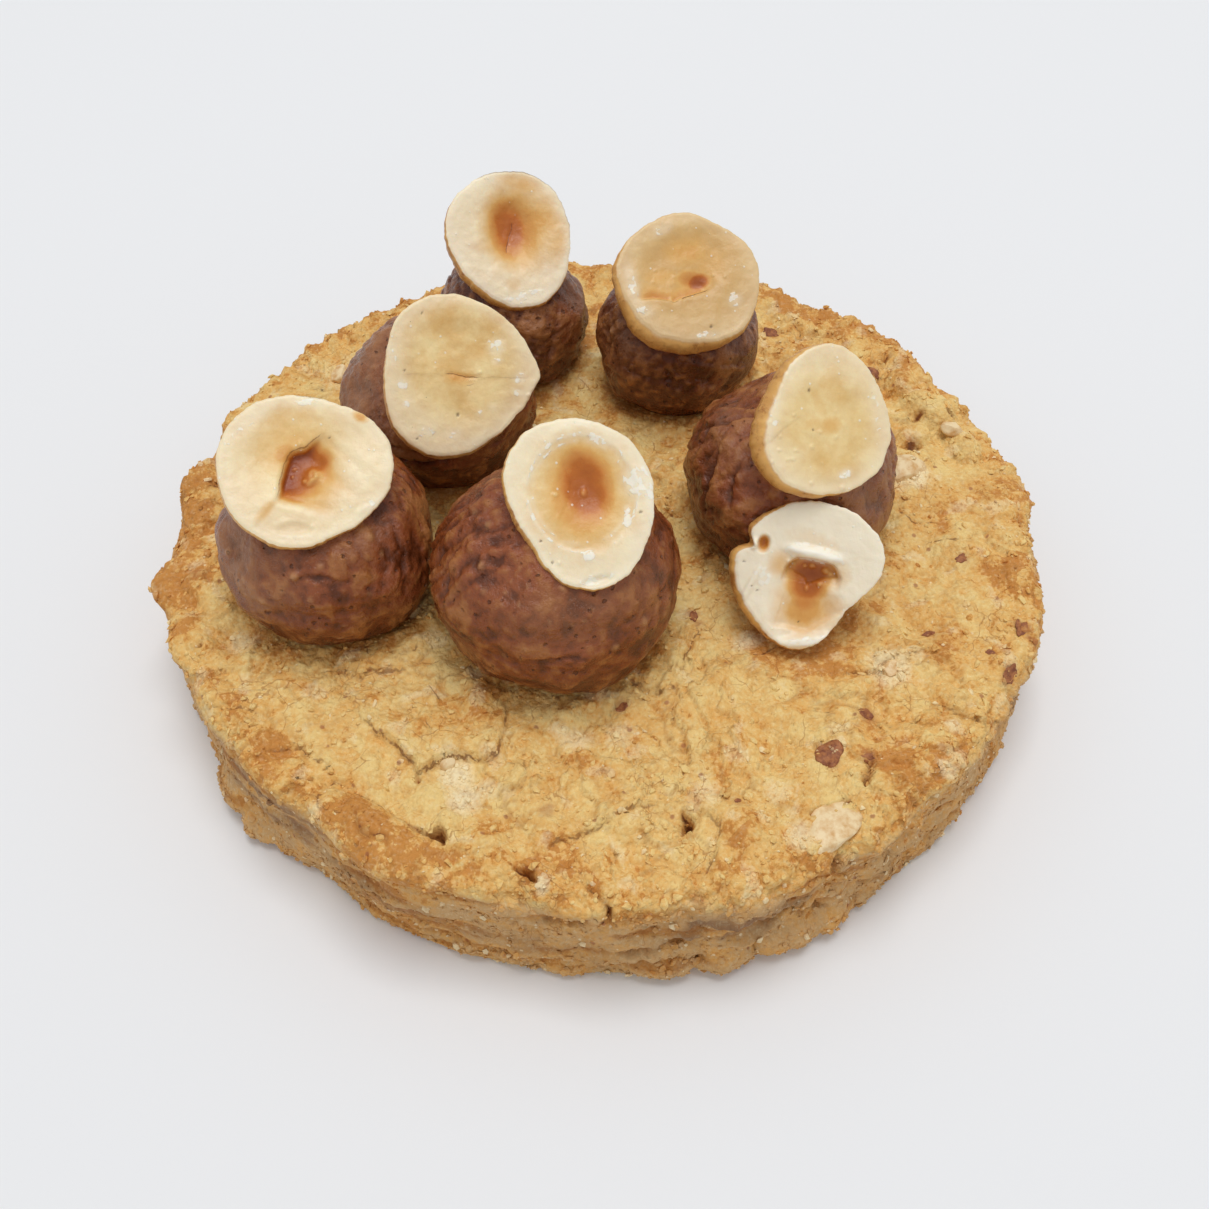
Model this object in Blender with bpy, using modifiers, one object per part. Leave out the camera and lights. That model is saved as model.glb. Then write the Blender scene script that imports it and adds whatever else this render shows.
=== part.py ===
"""A hazelnut praline biscuit. A thick crumbly disc of shortbread, baked in a ring, carries six soft balls
of praline. Half a hazelnut is pressed into each ball, cut face up, and one more half leans on the ball
at the right."""

import math
import random

import bmesh
import bpy
from mathutils import Vector, noise

# Driving dimensions. Lengths are in metres, written as millimetres times MM, and angles are in degrees.
# +X is the biscuit's right, +Y its back and +Z up, with the origin under its middle.
MM = 0.001
GAP = 0.3 * MM
RING_RADIUS = 45.0 * MM
THICKNESS = 13.3 * MM
SHOULDER = 2.3 * MM
FOOT = 0.9 * MM

# Steps round the biscuit, across its top and down its wall, then round and down a ball, and round a nut
BISCUIT_STEPS = 96
TOP_RINGS = 13
WALL_RINGS = 5
BALL_STEPS = 24
BALL_RINGS = 10
NUT_SIDES = 22
NUT_RINGS = 10

# Crumb relief: the size of the bumps and how far they stand out or in
CRUMB_LUMPS = ((7.0 * MM, 0.90 * MM), (3.4 * MM, 0.80 * MM))
SEAT_MARGIN = 2.5 * MM

# Where the biscuit's edge bulges or was chipped: direction, reach in mm, and half the width in degrees
EDGE_LUMPS = (
    (4, 0.4, 6), (30, -1.6, 5), (38, 1.4, 4), (139, 0.5, 4), (161, 0.8, 4), (173, 1.1, 5), (190, 0.8, 7),
    (233, -0.7, 6), (286, 0.6, 8), (312, -0.4, 5), (350, 0.3, 7),
)

# Lumps of crumb and pieces of nut baked into the surface: middle, half sizes and turn about Z, in mm
# and degrees
NUT_CHUNKS = {
    "front_right": ((19.8, -37.2, 12.7), (3.8, 2.3, 1.5), 18),
    "back_right": ((33.0, 6.8, 13.1), (2.1, 1.5, 0.9), -25),
    "edge_back_right": ((39.4, 12.6, 12.7), (1.3, 1.0, 0.8), 40),
    "front_left_flake": ((-12.0, -40.3, 13.1), (1.4, 0.9, 0.6), 20),
    "front_flake": ((8.6, -42.9, 12.5), (1.5, 0.7, 0.6), 15),
    "skin_a": ((20.2, -30.0, 13.2), (1.2, 1.7, 0.5), 25),
    "skin_b": ((23.9, -26.6, 13.2), (0.9, 1.5, 0.5), -35),
}
CRUMB_PIECES = {
    "rolled_rim": ((-19.8, -38.2, 12.5), (8.2, 2.7, 1.7), -31),
    "rim_left_a": ((-43.1, -9.0, 11.9), (1.8, 3.0, 1.5), 12),
    "rim_left_b": ((-40.6, -17.2, 12.4), (1.5, 2.6, 1.1), 22),
    "rim_right_a": ((36.8, 16.2, 12.9), (3.4, 2.4, 1.7), -64),
    "rim_right_b": ((39.6, 10.4, 12.6), (2.9, 1.8, 1.4), -75),
    "rim_right_c": ((34.8, 20.6, 12.9), (2.8, 1.9, 1.4), -55),
    "rim_right_d": ((34.4, 12.4, 13.1), (1.9, 1.5, 0.9), 10),
    "rim_back": ((34.0, 24.6, 12.7), (2.6, 1.5, 1.2), -52),
    "foot_left_a": ((-36.0, -26.6, 2.4), (1.7, 3.4, 2.3), 37),
    "foot_left_b": ((-33.2, -30.0, 1.6), (1.6, 2.6, 1.6), 42),
    "foot_right_a": ((5.0, -44.2, 2.0), (3.4, 1.4, 1.8), 6),
    "foot_right_b": ((10.6, -43.2, 1.8), (3.0, 1.4, 1.7), 14),
    "foot_right_c": ((16.0, -41.5, 2.2), (3.2, 1.6, 2.0), 21),
    "foot_right_d": ((20.6, -39.5, 2.0), (2.4, 1.5, 1.7), 28),
}
# Thin plates of crust that lifted as the dough dried: middle, half sizes, turn, and how far the front edge
# stands up. The back edge is sunk in the top.
CRUST_PLATES = {
    "plate_left": ((-16.4, -24.2), (7.6, 7.4), -12, 1.10),
    "plate_middle": ((-1.0, -31.0), (6.4, 4.2), 8, 0.55),
    "plate_right": ((24.0, -20.5), (6.8, 4.4), 28, 0.60),
}
PLATE_THICKNESS = 1.2 * MM
PLATE_SINK = 0.3
PLATE_CORNERS = 15
# Cracks and pits in the top: the route, the width and the depth, in mm
CRACKS = (
    (((-24.4, -33.2), (-19.8, -35.6), (-16.5, -37.2), (-13.9, -38.2)), 0.9, 1.3),
    (((6.7, -22.2), (6.1, -27.5), (7.3, -30.8), (6.6, -33.4), (7.0, -37.2)), 0.6, 1.0),
    (((9.0, -37.9), (9.5, -40.8)), 0.7, 0.9),
    (((-36.5, -24.2), (-34.2, -25.2), (-31.8, -25.5)), 0.6, 0.9),
)

# A ball of praline is a little squat, and its middle stands this share of its half width above the biscuit.
BALL_STAND = 0.62
BALL_SQUAT = 0.92
RIDGE_PITCH = 3.4 * MM
RIDGE_DEPTH = 0.24 * MM
BALL_LUMPS = ((9.0 * MM, 0.50 * MM), (4.2 * MM, 0.60 * MM))
# Each ball's middle on the biscuit, its half width and its half depth from front to back, in mm
PRALINE = {
    "back_left": ((-10.7, 26.0), 8.5, 8.2),
    "back_right": ((8.1, 21.8), 8.9, 8.9),
    "mid_left": ((-17.7, 10.4), 10.2, 8.9),
    "left": ((-26.8, -9.7), 10.1, 10.1),
    "front": ((-4.8, -14.3), 11.4, 11.4),
    "right": ((18.5, -0.8), 10.4, 10.4),
}

# Hazelnut halves. The face is the cut side: its middle, the elevation and direction that it faces, its mean
# radius and how deep the round back is. Lobes make the outline: how many, how far each stands out and where
# the first is. The hollow that the germ left has its middle on the face, its half sizes and its depth.
HAZELNUTS = {
    "back_left": {
        "middle": (-10.1, 25.6, 29.5), "faces": (49, -73), "radius": 7.0, "depth": 5.6,
        "lobes": ((1, 0.2, 92), (2, 0.4, 100), (3, 0.3, 40)), "hollow": ((0.2, 1.5), (1.8, 2.5), 1.4),
    },
    "back_right": {
        "middle": (8.9, 18.9, 29.3), "faces": (54, -78), "radius": 7.2, "depth": 5.6,
        "lobes": ((2, 0.4, 156), (5, 0.15, 14)), "hollow": ((0.6, -0.6), (3.4, 2.0), 0.6),
    },
    "mid_left": {
        "middle": (-14.2, 3.7, 29.4), "faces": (46, -72), "radius": 7.5, "depth": 5.4,
        "lobes": ((1, 0.4, 184), (2, 0.25, 57), (3, 0.45, 109)), "hollow": ((-0.1, -0.3), (2.0, 1.2), 0.3),
    },
    "left": {
        "middle": (-26.8, -10.9, 30.9), "faces": (58, -72), "radius": 7.3, "depth": 5.6,
        "lobes": ((1, 0.2, 193), (2, 0.45, 169), (3, 0.3, 118)), "hollow": ((-0.6, 0.4), (2.1, 2.6), 2.0),
    },
    "front": {
        "middle": (-2.1, -16.7, 32.5), "faces": (52, -82), "radius": 6.75, "depth": 5.6,
        "lobes": ((1, 0.25, 45), (2, 0.75, 108), (3, 0.35, 28)), "hollow": ((0.0, 1.9), (3.0, 3.4), 1.3),
    },
    "right": {
        "middle": (20.1, -5.5, 31.6), "faces": (46, -72), "radius": 6.35, "depth": 5.4,
        "lobes": ((1, 0.55, 316), (2, 0.5, 70), (3, 0.35, 81)), "hollow": ((0.1, -0.5), (3.0, 3.0), 0.25),
    },
    "loose": {
        "middle": (18.8, -14.1, 20.3), "faces": (36, -101), "radius": 6.6, "depth": 4.6,
        "lobes": ((1, 0.55, 98), (2, 0.5, 62), (3, 0.5, 33), (4, 0.2, 9)),
        "hollow": ((0.4, 0.1), (2.7, 1.5), 1.8),
    },
}
# How full the round back is, how far the face's ring runs out, and the small rounding of the face's edge
BELLY_FULLNESS = 2.4
FACE_SHARE = 0.96
FACE_ROUNDING = 0.35 * MM
# Which ball each half is pressed into
SITS_IN = {name: name for name in PRALINE} | {"loose": "right"}
# Where the loose half's tip stands over the biscuit, and the radius that is kept flat under it
LOOSE_TIP = ((19.2, -16.0), 4.5)
# A notch in the loose half's edge: its direction, how far it goes in and half its width in degrees
LOOSE_NOTCH = (162, -1.0, 8)


for old in list(bpy.data.objects):
    bpy.data.objects.remove(old, do_unlink=True)

pieces = bpy.data.collections.new("hazelnut_praline_biscuit")
cutters = bpy.data.collections.new("cutters")
bpy.context.scene.collection.children.link(pieces)
bpy.context.scene.collection.children.link(cutters)
cookie = bpy.data.objects.new("cookie", None)
pieces.objects.link(cookie)


def material(name, colour, roughness):
    """A plain finish in a linear colour."""
    made = bpy.data.materials.new(name)
    made.use_nodes = True
    shader = made.node_tree.nodes["Principled BSDF"]
    shader.inputs["Base Color"].default_value = (*colour, 1.0)
    shader.inputs["Roughness"].default_value = roughness
    return made


SHORTBREAD = material("baked shortbread", (0.62, 0.38, 0.15), 0.8)
PRALINE_PASTE = material("praline paste", (0.14, 0.055, 0.03), 0.4)
KERNEL = material("blanched hazelnut", (0.82, 0.64, 0.38), 0.5)


def add(name, mesh, collection=pieces, finish=None):
    """An object of this mesh. A piece rides on the cookie's empty, and a cutter isn't rendered."""
    obj = bpy.data.objects.new(name, mesh)
    collection.objects.link(obj)
    obj.parent = cookie
    if finish:
        mesh.materials.append(finish)
    if collection is cutters:
        obj.hide_render = True
        obj.display_type = "WIRE"
    return obj


def applied(obj):
    """The object's mesh as its modifiers leave it."""
    bpy.context.view_layer.update()
    graph = bpy.context.evaluated_depsgraph_get()
    return bpy.data.meshes.new_from_object(obj.evaluated_get(graph))


def turned(name, profile, steps):
    """The mesh of a body turned about Z from a profile that runs down its outer side, axis to axis."""
    line = bpy.data.meshes.new(name + "_profile")
    edges = [(i, i + 1) for i in range(len(profile) - 1)]
    line.from_pydata([(x, 0.0, z) for x, z in profile], edges, [])
    lathe = bpy.data.objects.new(name + "_profile", line)
    pieces.objects.link(lathe)
    screw = lathe.modifiers.new("turn", "SCREW")
    screw.steps = steps
    screw.render_steps = steps
    screw.use_merge_vertices = True
    screw.merge_threshold = 0.01 * MM
    mesh = applied(lathe)
    mesh.name = name
    bpy.data.objects.remove(lathe, do_unlink=True)
    return mesh


def smooth(mesh, angle=50):
    """Round shading, with edges sharper than the angle kept."""
    mesh.shade_smooth()
    mesh.set_sharp_from_angle(angle=math.radians(angle))


def lumps(place, sizes):
    """Bumps of these sizes at a place, which may be positive or negative."""
    return sum(depth * noise.noise(place / size) for size, depth in sizes)


def swell(angle, direction, reach, spread):
    """A rounded bulge of an outline about one direction, all in degrees but the reach."""
    away = (angle - direction + 180) % 360 - 180
    return reach * math.exp(-((away / spread) ** 2))


def ease(value):
    """Zero below 0 and one above 1, with a smooth rise between."""
    value = min(max(value, 0.0), 1.0)
    return value * value * (3 - 2 * value)


# The biscuit: a turned disc with a rounded shoulder, roughened all over but for its base and the seats
# of the praline

bits = bpy.data.collections.new("bits")
cracks = bpy.data.collections.new("cracks")
bpy.context.scene.collection.children.link(bits)
cutters.children.link(cracks)


def biscuit_profile():
    """The section of half the disc, from the middle of the top to the middle of the base."""
    flat = RING_RADIUS - SHOULDER
    points = [(flat * (ring / TOP_RINGS) ** 0.75, THICKNESS) for ring in range(TOP_RINGS + 1)]
    for angle in (30, 60, 90):
        turn = math.radians(angle)
        points.append((flat + SHOULDER * math.sin(turn), THICKNESS - SHOULDER * (1 - math.cos(turn))))
    wall = THICKNESS - SHOULDER - FOOT
    points += [(RING_RADIUS, FOOT + wall * (1 - ring / WALL_RINGS)) for ring in range(1, WALL_RINGS + 1)]
    points += [(RING_RADIUS - 0.3 * FOOT, 0.3 * FOOT), (RING_RADIUS - FOOT, 0.0), (0.0, 0.0)]
    return points


def seat_radius(half_width):
    """The radius of the flat on which a ball of praline stands."""
    return half_width * math.sqrt(1 - (BALL_STAND / BALL_SQUAT) ** 2) + 0.6 * MM


SEATS = [(Vector(middle) * MM, seat_radius(width * MM)) for middle, width, _ in PRALINE.values()]
SEATS.append((Vector(LOOSE_TIP[0]) * MM, LOOSE_TIP[1] * MM))


def bare(place):
    """How freely the surface may be rough: not at all on the base, nor on the top under praline or nut."""
    if place.z < 0.5 * FOOT:
        return 0.0
    if place.z < THICKNESS - 0.5 * MM:
        return 1.0
    return min(ease(((place.xy - middle).length - radius) / SEAT_MARGIN) for middle, radius in SEATS)


def shape_biscuit(mesh):
    """Roughens the turned disc and gives its edge the bulges and chips of the baked one."""
    shaped = []
    for vertex in mesh.vertices:
        place = vertex.co + vertex.normal * lumps(vertex.co, CRUMB_LUMPS) * bare(vertex.co)
        angle = math.degrees(math.atan2(place.y, place.x))
        out = sum(swell(angle, direction, reach * MM, spread) for direction, reach, spread in EDGE_LUMPS)
        share = (place.xy.length / RING_RADIUS) ** 4
        place.xy *= 1 + share * out / RING_RADIUS
        shaped.append(place)
    for vertex, place in zip(mesh.vertices, shaped):
        vertex.co = place


def pebble(name, middle, half_sizes, turn, seed):
    """An uneven lump with its own jitter, for the union with the biscuit."""
    draw = random.Random(seed)
    mesh = bpy.data.meshes.new(name)
    form = bmesh.new()
    bmesh.ops.create_icosphere(form, subdivisions=2, radius=1.0)
    for vertex in form.verts:
        vertex.co *= draw.uniform(0.84, 1.12)
        vertex.co = Vector(side * size * MM for side, size in zip(vertex.co, half_sizes))
    form.to_mesh(mesh)
    form.free()
    obj = add(name, mesh, bits)
    obj.location = Vector(middle) * MM
    obj.rotation_euler.z = math.radians(turn)


def prism(name, outline, low, high, collection):
    """An upright solid of a flat outline, which runs anticlockwise."""
    mesh = bpy.data.meshes.new(name)
    form = bmesh.new()
    face = form.faces.new([form.verts.new((x, y, low)) for x, y in outline])
    raised = bmesh.ops.extrude_face_region(form, geom=[face])
    tops = [item for item in raised["geom"] if isinstance(item, bmesh.types.BMVert)]
    bmesh.ops.translate(form, verts=tops, vec=(0.0, 0.0, high - low))
    bmesh.ops.recalc_face_normals(form, faces=form.faces)
    form.to_mesh(mesh)
    form.free()
    return add(name, mesh, collection)


def crust_plate(name, middle, half_sizes, turn, rise, seed):
    """A ragged plate of crust, its front edge raised off the top and its back edge sunk into it."""
    draw = random.Random(seed)
    outline = []
    for corner in range(PLATE_CORNERS):
        angle = math.tau * (corner + draw.uniform(-0.25, 0.25)) / PLATE_CORNERS
        reach = draw.uniform(0.80, 1.10) * MM
        outline.append((half_sizes[0] * reach * math.cos(angle), half_sizes[1] * reach * math.sin(angle)))
    plate = prism(name, outline, -PLATE_THICKNESS, 0.0, bits)
    slope = math.atan2(rise + PLATE_SINK, 2 * half_sizes[1])
    plate.location = (middle[0] * MM, middle[1] * MM, THICKNESS + (rise - PLATE_SINK) / 2 * MM)
    plate.rotation_euler = (-slope, 0.0, math.radians(turn))


def crack(name, route, width, depth, seed):
    """A narrow ragged slot along a route, which tapers to a point at both ends."""
    draw = random.Random(seed)
    fine = []
    for (x0, y0), (x1, y1) in zip(route, route[1:]):
        fine += [(x0 + (x1 - x0) * share, y0 + (y1 - y0) * share) for share in (0.0, 0.5)]
    fine.append(route[-1])
    left, right = [], []
    along = Vector(route[-1]) - Vector(route[0])
    across = Vector((-along.y, along.x)).normalized()
    for step, (x, y) in enumerate(fine):
        wide = width * math.sin(math.pi * (step + 0.4) / (len(fine) - 0.2)) * draw.uniform(0.7, 1.2) / 2
        drift = draw.uniform(-0.25, 0.25)
        left.append(((x + across.x * (drift + wide)) * MM, (y + across.y * (drift + wide)) * MM))
        right.append(((x + across.x * (drift - wide)) * MM, (y + across.y * (drift - wide)) * MM))
    prism(name, right + left[::-1], THICKNESS - depth * MM, THICKNESS + 3 * MM, cracks)


disc = turned("biscuit", biscuit_profile(), BISCUIT_STEPS)
shape_biscuit(disc)
biscuit = add("biscuit", disc, finish=SHORTBREAD)

for seed, (name, shape) in enumerate(NUT_CHUNKS.items()):
    pebble(name, *shape, seed=seed)
for seed, (name, shape) in enumerate(CRUMB_PIECES.items(), start=50):
    pebble(name, *shape, seed=seed)
for seed, (name, shape) in enumerate(CRUST_PLATES.items(), start=100):
    crust_plate(name, *shape, seed=seed)
for seed, (route, width, depth) in enumerate(CRACKS, start=150):
    crack(f"crack_{seed}", route, width, depth, seed=seed)

join = biscuit.modifiers.new("join bits", "BOOLEAN")
join.operation = "UNION"
join.operand_type = "COLLECTION"
join.collection = bits
cut = biscuit.modifiers.new("cut cracks", "BOOLEAN")
cut.operation = "DIFFERENCE"
cut.operand_type = "COLLECTION"
cut.collection = cracks
whole = applied(biscuit)
biscuit.modifiers.clear()
biscuit.data = whole
smooth(whole, 35)
for bit in list(bits.objects) + list(cracks.objects):
    bpy.data.objects.remove(bit, do_unlink=True)
bpy.data.collections.remove(bits)
bpy.data.collections.remove(cracks)


# The praline: squat balls with the faint ridges that rolling leaves, flattened where two of them meet

def ball_profile(width):
    """The section of half a ball, from its top down to the flat that it stands on."""
    lowest = math.asin((GAP - BALL_STAND * width) / (BALL_SQUAT * width))
    points = []
    for ring in range(BALL_RINGS + 1):
        rise = math.pi / 2 + (lowest - math.pi / 2) * ring / BALL_RINGS
        height = THICKNESS + BALL_STAND * width + BALL_SQUAT * width * math.sin(rise)
        points.append((width * math.cos(rise), height))
    points[0] = (0.0, points[0][1])
    return points + [(0.0, THICKNESS + GAP)]


def pressed(place, own):
    """Moves a place back to the plane where a ball meets its neighbour, if it lies beyond."""
    middle = Vector(PRALINE[own][0]) * MM
    for other, (there, width, _) in PRALINE.items():
        if other == own:
            continue
        apart = Vector(there) * MM - middle
        share = PRALINE[own][1] / (PRALINE[own][1] + width)
        limit = apart.length * share - GAP / 2
        beyond = (place.xy - middle).dot(apart.normalized()) - limit
        if beyond > 0:
            place.xy -= apart.normalized() * beyond


def praline_ball(name):
    """One ball, roughened and ridged, but flat where it stands."""
    middle, width, depth = PRALINE[name]
    mesh = turned("praline_" + name, ball_profile(width * MM), BALL_STEPS)
    shaped = []
    for vertex in mesh.vertices:
        angle = math.atan2(vertex.co.y, vertex.co.x)
        ridge = RIDGE_DEPTH * math.sin(math.tau * vertex.co.z / RIDGE_PITCH + angle)
        offset = ridge + lumps(vertex.co + Vector(middle).to_3d() * MM, BALL_LUMPS)
        if vertex.co.z < THICKNESS + 2 * GAP:
            offset = 0.0
        place = vertex.co + vertex.normal * offset
        place.y *= depth / width
        place.xy += Vector(middle) * MM
        pressed(place, name)
        shaped.append(place)
    for vertex, place in zip(mesh.vertices, shaped):
        vertex.co = place
    smooth(mesh)
    return add("praline_" + name, mesh, finish=PRALINE_PASTE)


# The hazelnut halves: a round back, a flat cut face with its germ hollow, and an uneven outline

def face_reach(name, angle):
    """The radius of a half's cut face in one direction on the face, in degrees from its right."""
    half = HAZELNUTS[name]
    reach = half["radius"] + sum(
        amount * math.cos(count * math.radians(angle - first)) for count, amount, first in half["lobes"]
    )
    if name == "loose":
        reach += swell(angle, *LOOSE_NOTCH)
    return reach * MM


def hazelnut_mesh(name, label, grow=0.0, hollow=True):
    """A half about its face's middle, with the face towards +Z, grown on all sides for a cutter."""
    half = HAZELNUTS[name]
    (across, along), (wide, tall), deep = half["hollow"]
    mesh = bpy.data.meshes.new(label)
    form = bmesh.new()
    bmesh.ops.create_uvsphere(form, u_segments=NUT_SIDES, v_segments=NUT_RINGS, radius=1.0)
    for vertex in form.verts:
        out = min(vertex.co.xy.length, 1.0)
        angle = math.atan2(vertex.co.y, vertex.co.x)
        reach = face_reach(name, math.degrees(angle)) + grow
        if vertex.co.z > 0.05:
            share = FACE_SHARE * 2 * math.asin(out) / math.pi
            x, y = reach * share * math.cos(angle), reach * share * math.sin(angle)
            pit = math.exp(-(((x / MM - across) / wide) ** 2) - ((y / MM - along) / tall) ** 2)
            vertex.co = (x, y, grow - (deep * MM * pit if hollow else 0.0))
        elif vertex.co.z > -0.05:
            vertex.co = (reach * math.cos(angle), reach * math.sin(angle), grow - FACE_ROUNDING)
        else:
            down = -vertex.co.z
            belly = reach * (1 - down**BELLY_FULLNESS) ** (1 / BELLY_FULLNESS)
            deepest = half["depth"] * MM + grow
            vertex.co = (belly * math.cos(angle), belly * math.sin(angle), -down * deepest)
    form.to_mesh(mesh)
    form.free()
    return mesh


def hazelnut(name, label, collection=pieces, grow=0.0, hollow=True, finish=None):
    """A half in its place, turned so that its face looks the way it does on the biscuit."""
    elevation, direction = HAZELNUTS[name]["faces"]
    obj = add(label, hazelnut_mesh(name, label, grow, hollow), collection, finish)
    obj.location = Vector(HAZELNUTS[name]["middle"]) * MM
    obj.rotation_euler = (math.radians(90 - elevation), 0.0, math.radians(direction + 90))
    return obj


balls = {name: praline_ball(name) for name in PRALINE}
for name in HAZELNUTS:
    nut = hazelnut(name, "hazelnut_" + name, finish=KERNEL)
    smooth(nut.data, 45)
    pocket = hazelnut(name, "pocket_" + name, cutters, grow=GAP, hollow=False)
    cut = balls[SITS_IN[name]].modifiers.new("pocket " + name, "BOOLEAN")
    cut.operation = "DIFFERENCE"
    cut.object = pocket

# The whole is shifted so that the middle of its box stands over the origin.
bpy.context.view_layer.update()
corners = [vertex.co for vertex in biscuit.data.vertices]
low = [min(corner[axis] for corner in corners) for axis in range(3)]
high = [max(corner[axis] for corner in corners) for axis in range(3)]
cookie.location = (-(low[0] + high[0]) / 2, -(low[1] + high[1]) / 2, -low[2])
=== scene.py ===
import math

import bmesh
import bpy
import numpy as np
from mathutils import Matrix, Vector, noise
from mathutils.kdtree import KDTree


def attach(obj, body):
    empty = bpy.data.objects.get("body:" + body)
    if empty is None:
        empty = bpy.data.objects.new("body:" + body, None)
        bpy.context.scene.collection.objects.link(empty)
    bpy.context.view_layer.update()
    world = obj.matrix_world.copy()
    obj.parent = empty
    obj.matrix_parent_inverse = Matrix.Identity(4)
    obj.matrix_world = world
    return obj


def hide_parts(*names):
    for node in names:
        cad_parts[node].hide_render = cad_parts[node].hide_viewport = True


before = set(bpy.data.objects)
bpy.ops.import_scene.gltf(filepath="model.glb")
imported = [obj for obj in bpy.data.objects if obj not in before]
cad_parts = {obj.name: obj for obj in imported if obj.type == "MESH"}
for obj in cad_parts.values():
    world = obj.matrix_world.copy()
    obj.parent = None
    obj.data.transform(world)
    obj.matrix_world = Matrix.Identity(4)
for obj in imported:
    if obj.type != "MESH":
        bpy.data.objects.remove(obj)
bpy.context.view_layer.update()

# The biscuit is shortbread dough with chopped hazelnuts in it, pressed by hand into a pastry ring and baked
# there. Its top dried to a cracked, flaky crust, and its wall took the smooth of the ring.

# Lengths are in millimetres, and places are from the middle of the ring, which stands here in the frame
MM = 0.001
RING_MIDDLE = np.array([0.32, 0.146, 0.0])
RING_RADIUS = 45.0
THICKNESS = 13.3
SHOULDER = 2.3
FOOT = 0.9
TOP_STEPS = 264
WALL_ROWS = 25
FRONT_CLOSER = 0.13
# The rounded foot has these rows: how far in and how high they are, as shares of it, and how far they lean
FOOT_ROWS = ((0.08, 0.6, 0.95), (0.3, 0.3, 0.8), (1.0, 0.0, 0.0))
MM_PER_DEGREE = 0.785
# Fine dark lines are painted as the distance from them, over this many millimetres in all
LINE_SPAN = 4.0
# The size of the waves in the edge of such a line
WANDER_SIZE = 0.55

# Size and depth of the lumps all over the crumb, then of the finer grains on it
CRUMB_LUMPS = ((7.0, 0.9), (3.4, 0.8))
CRUMB_GRAINS = ((1.9, 0.17), (1.0, 0.15), (0.6, 0.19))
# Size and height of the clods that the rubbed-in dough made, big and small, and where their pattern starts
CLODS = ((3.3, 0.28, 101.0), (1.7, 0.12, 103.0))
# How high the flakes of crust break off and the nubs of crumb stand, and how deep the fine cracks go and the
# ring dragged the wall
SHEET_STEP = 0.56
NUB_HEIGHT = 0.17
CRACKLE_DEPTH = 0.16
DRAG_DEPTH = 0.46
# The praline balls stand here: the middle and the radius of each flat
SEATS = (
    (-10.7, 26.0, 6.9), (8.1, 21.8, 7.2), (-17.7, 10.4, 8.1), (-26.8, -9.7, 8.1), (-4.8, -14.3, 9.0),
    (18.5, -0.8, 8.3), (19.2, -16.0, 4.5),
)
# Bulges and chips of the edge: direction, reach, and half the width in degrees
EDGE_LUMPS = (
    (4, 0.4, 6), (30, -1.6, 5), (38, 1.4, 4), (139, 0.5, 4), (161, 0.8, 4), (173, 1.1, 5), (190, 0.8, 7),
    (233, -0.7, 6), (286, 0.6, 8), (312, -0.4, 5), (350, 0.3, 7),
)
# Lumps of crumb that stand out: middle, half sizes, turn in degrees
CRUMB_PIECES = (
    ((-19.8, -38.2, 12.5), (8.2, 2.8, 1.9), -31), ((-43.1, -9.0, 11.9), (1.8, 3.0, 1.5), 12),
    ((-40.6, -17.2, 12.4), (1.5, 2.6, 1.1), 22), ((36.8, 16.2, 12.9), (3.4, 2.4, 2.4), -64),
    ((39.6, 10.4, 12.6), (2.9, 1.8, 1.9), -75), ((34.8, 20.6, 12.9), (2.8, 1.9, 1.8), -55),
    ((34.4, 12.4, 13.1), (1.9, 1.5, 0.9), 10), ((34.0, 24.6, 12.7), (2.6, 1.5, 1.2), -52),
    ((-36.0, -26.6, 2.4), (1.7, 3.4, 2.3), 37), ((-33.2, -30.0, 1.6), (1.6, 2.6, 1.6), 42),
    ((5.0, -44.2, 2.0), (3.4, 1.4, 1.8), 6), ((10.6, -43.2, 1.8), (3.0, 1.4, 1.7), 14),
    ((16.0, -41.5, 2.2), (3.2, 1.6, 2.0), 21), ((20.6, -39.5, 2.0), (2.4, 1.5, 1.7), 28),
    ((-10.5, -41.6, 12.2), (1.7, 1.0, 0.8), 10), ((-8.0, -40.8, 12.6), (1.3, 0.9, 0.7), -20),
    ((-3.2, -42.0, 12.2), (1.6, 1.0, 0.8), 0), ((0.8, -42.4, 12.1), (1.4, 0.9, 0.7), 15),
    ((3.6, -41.2, 12.6), (1.3, 0.9, 0.6), -10), ((12.8, -40.6, 12.3), (1.7, 1.0, 0.9), 25),
    ((15.6, -39.6, 12.4), (1.2, 0.9, 0.7), 40), ((23.6, -36.4, 12.4), (1.6, 1.1, 0.9), 45),
    ((26.0, -34.4, 12.4), (1.7, 1.1, 0.9), 50), ((28.6, -32.6, 12.3), (1.4, 1.0, 0.8), 50),
    ((31.0, -30.2, 12.4), (1.7, 1.1, 0.8), 55), ((-14.9, -40.0, 12.7), (1.5, 1.1, 1.0), 12),
)
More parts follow.
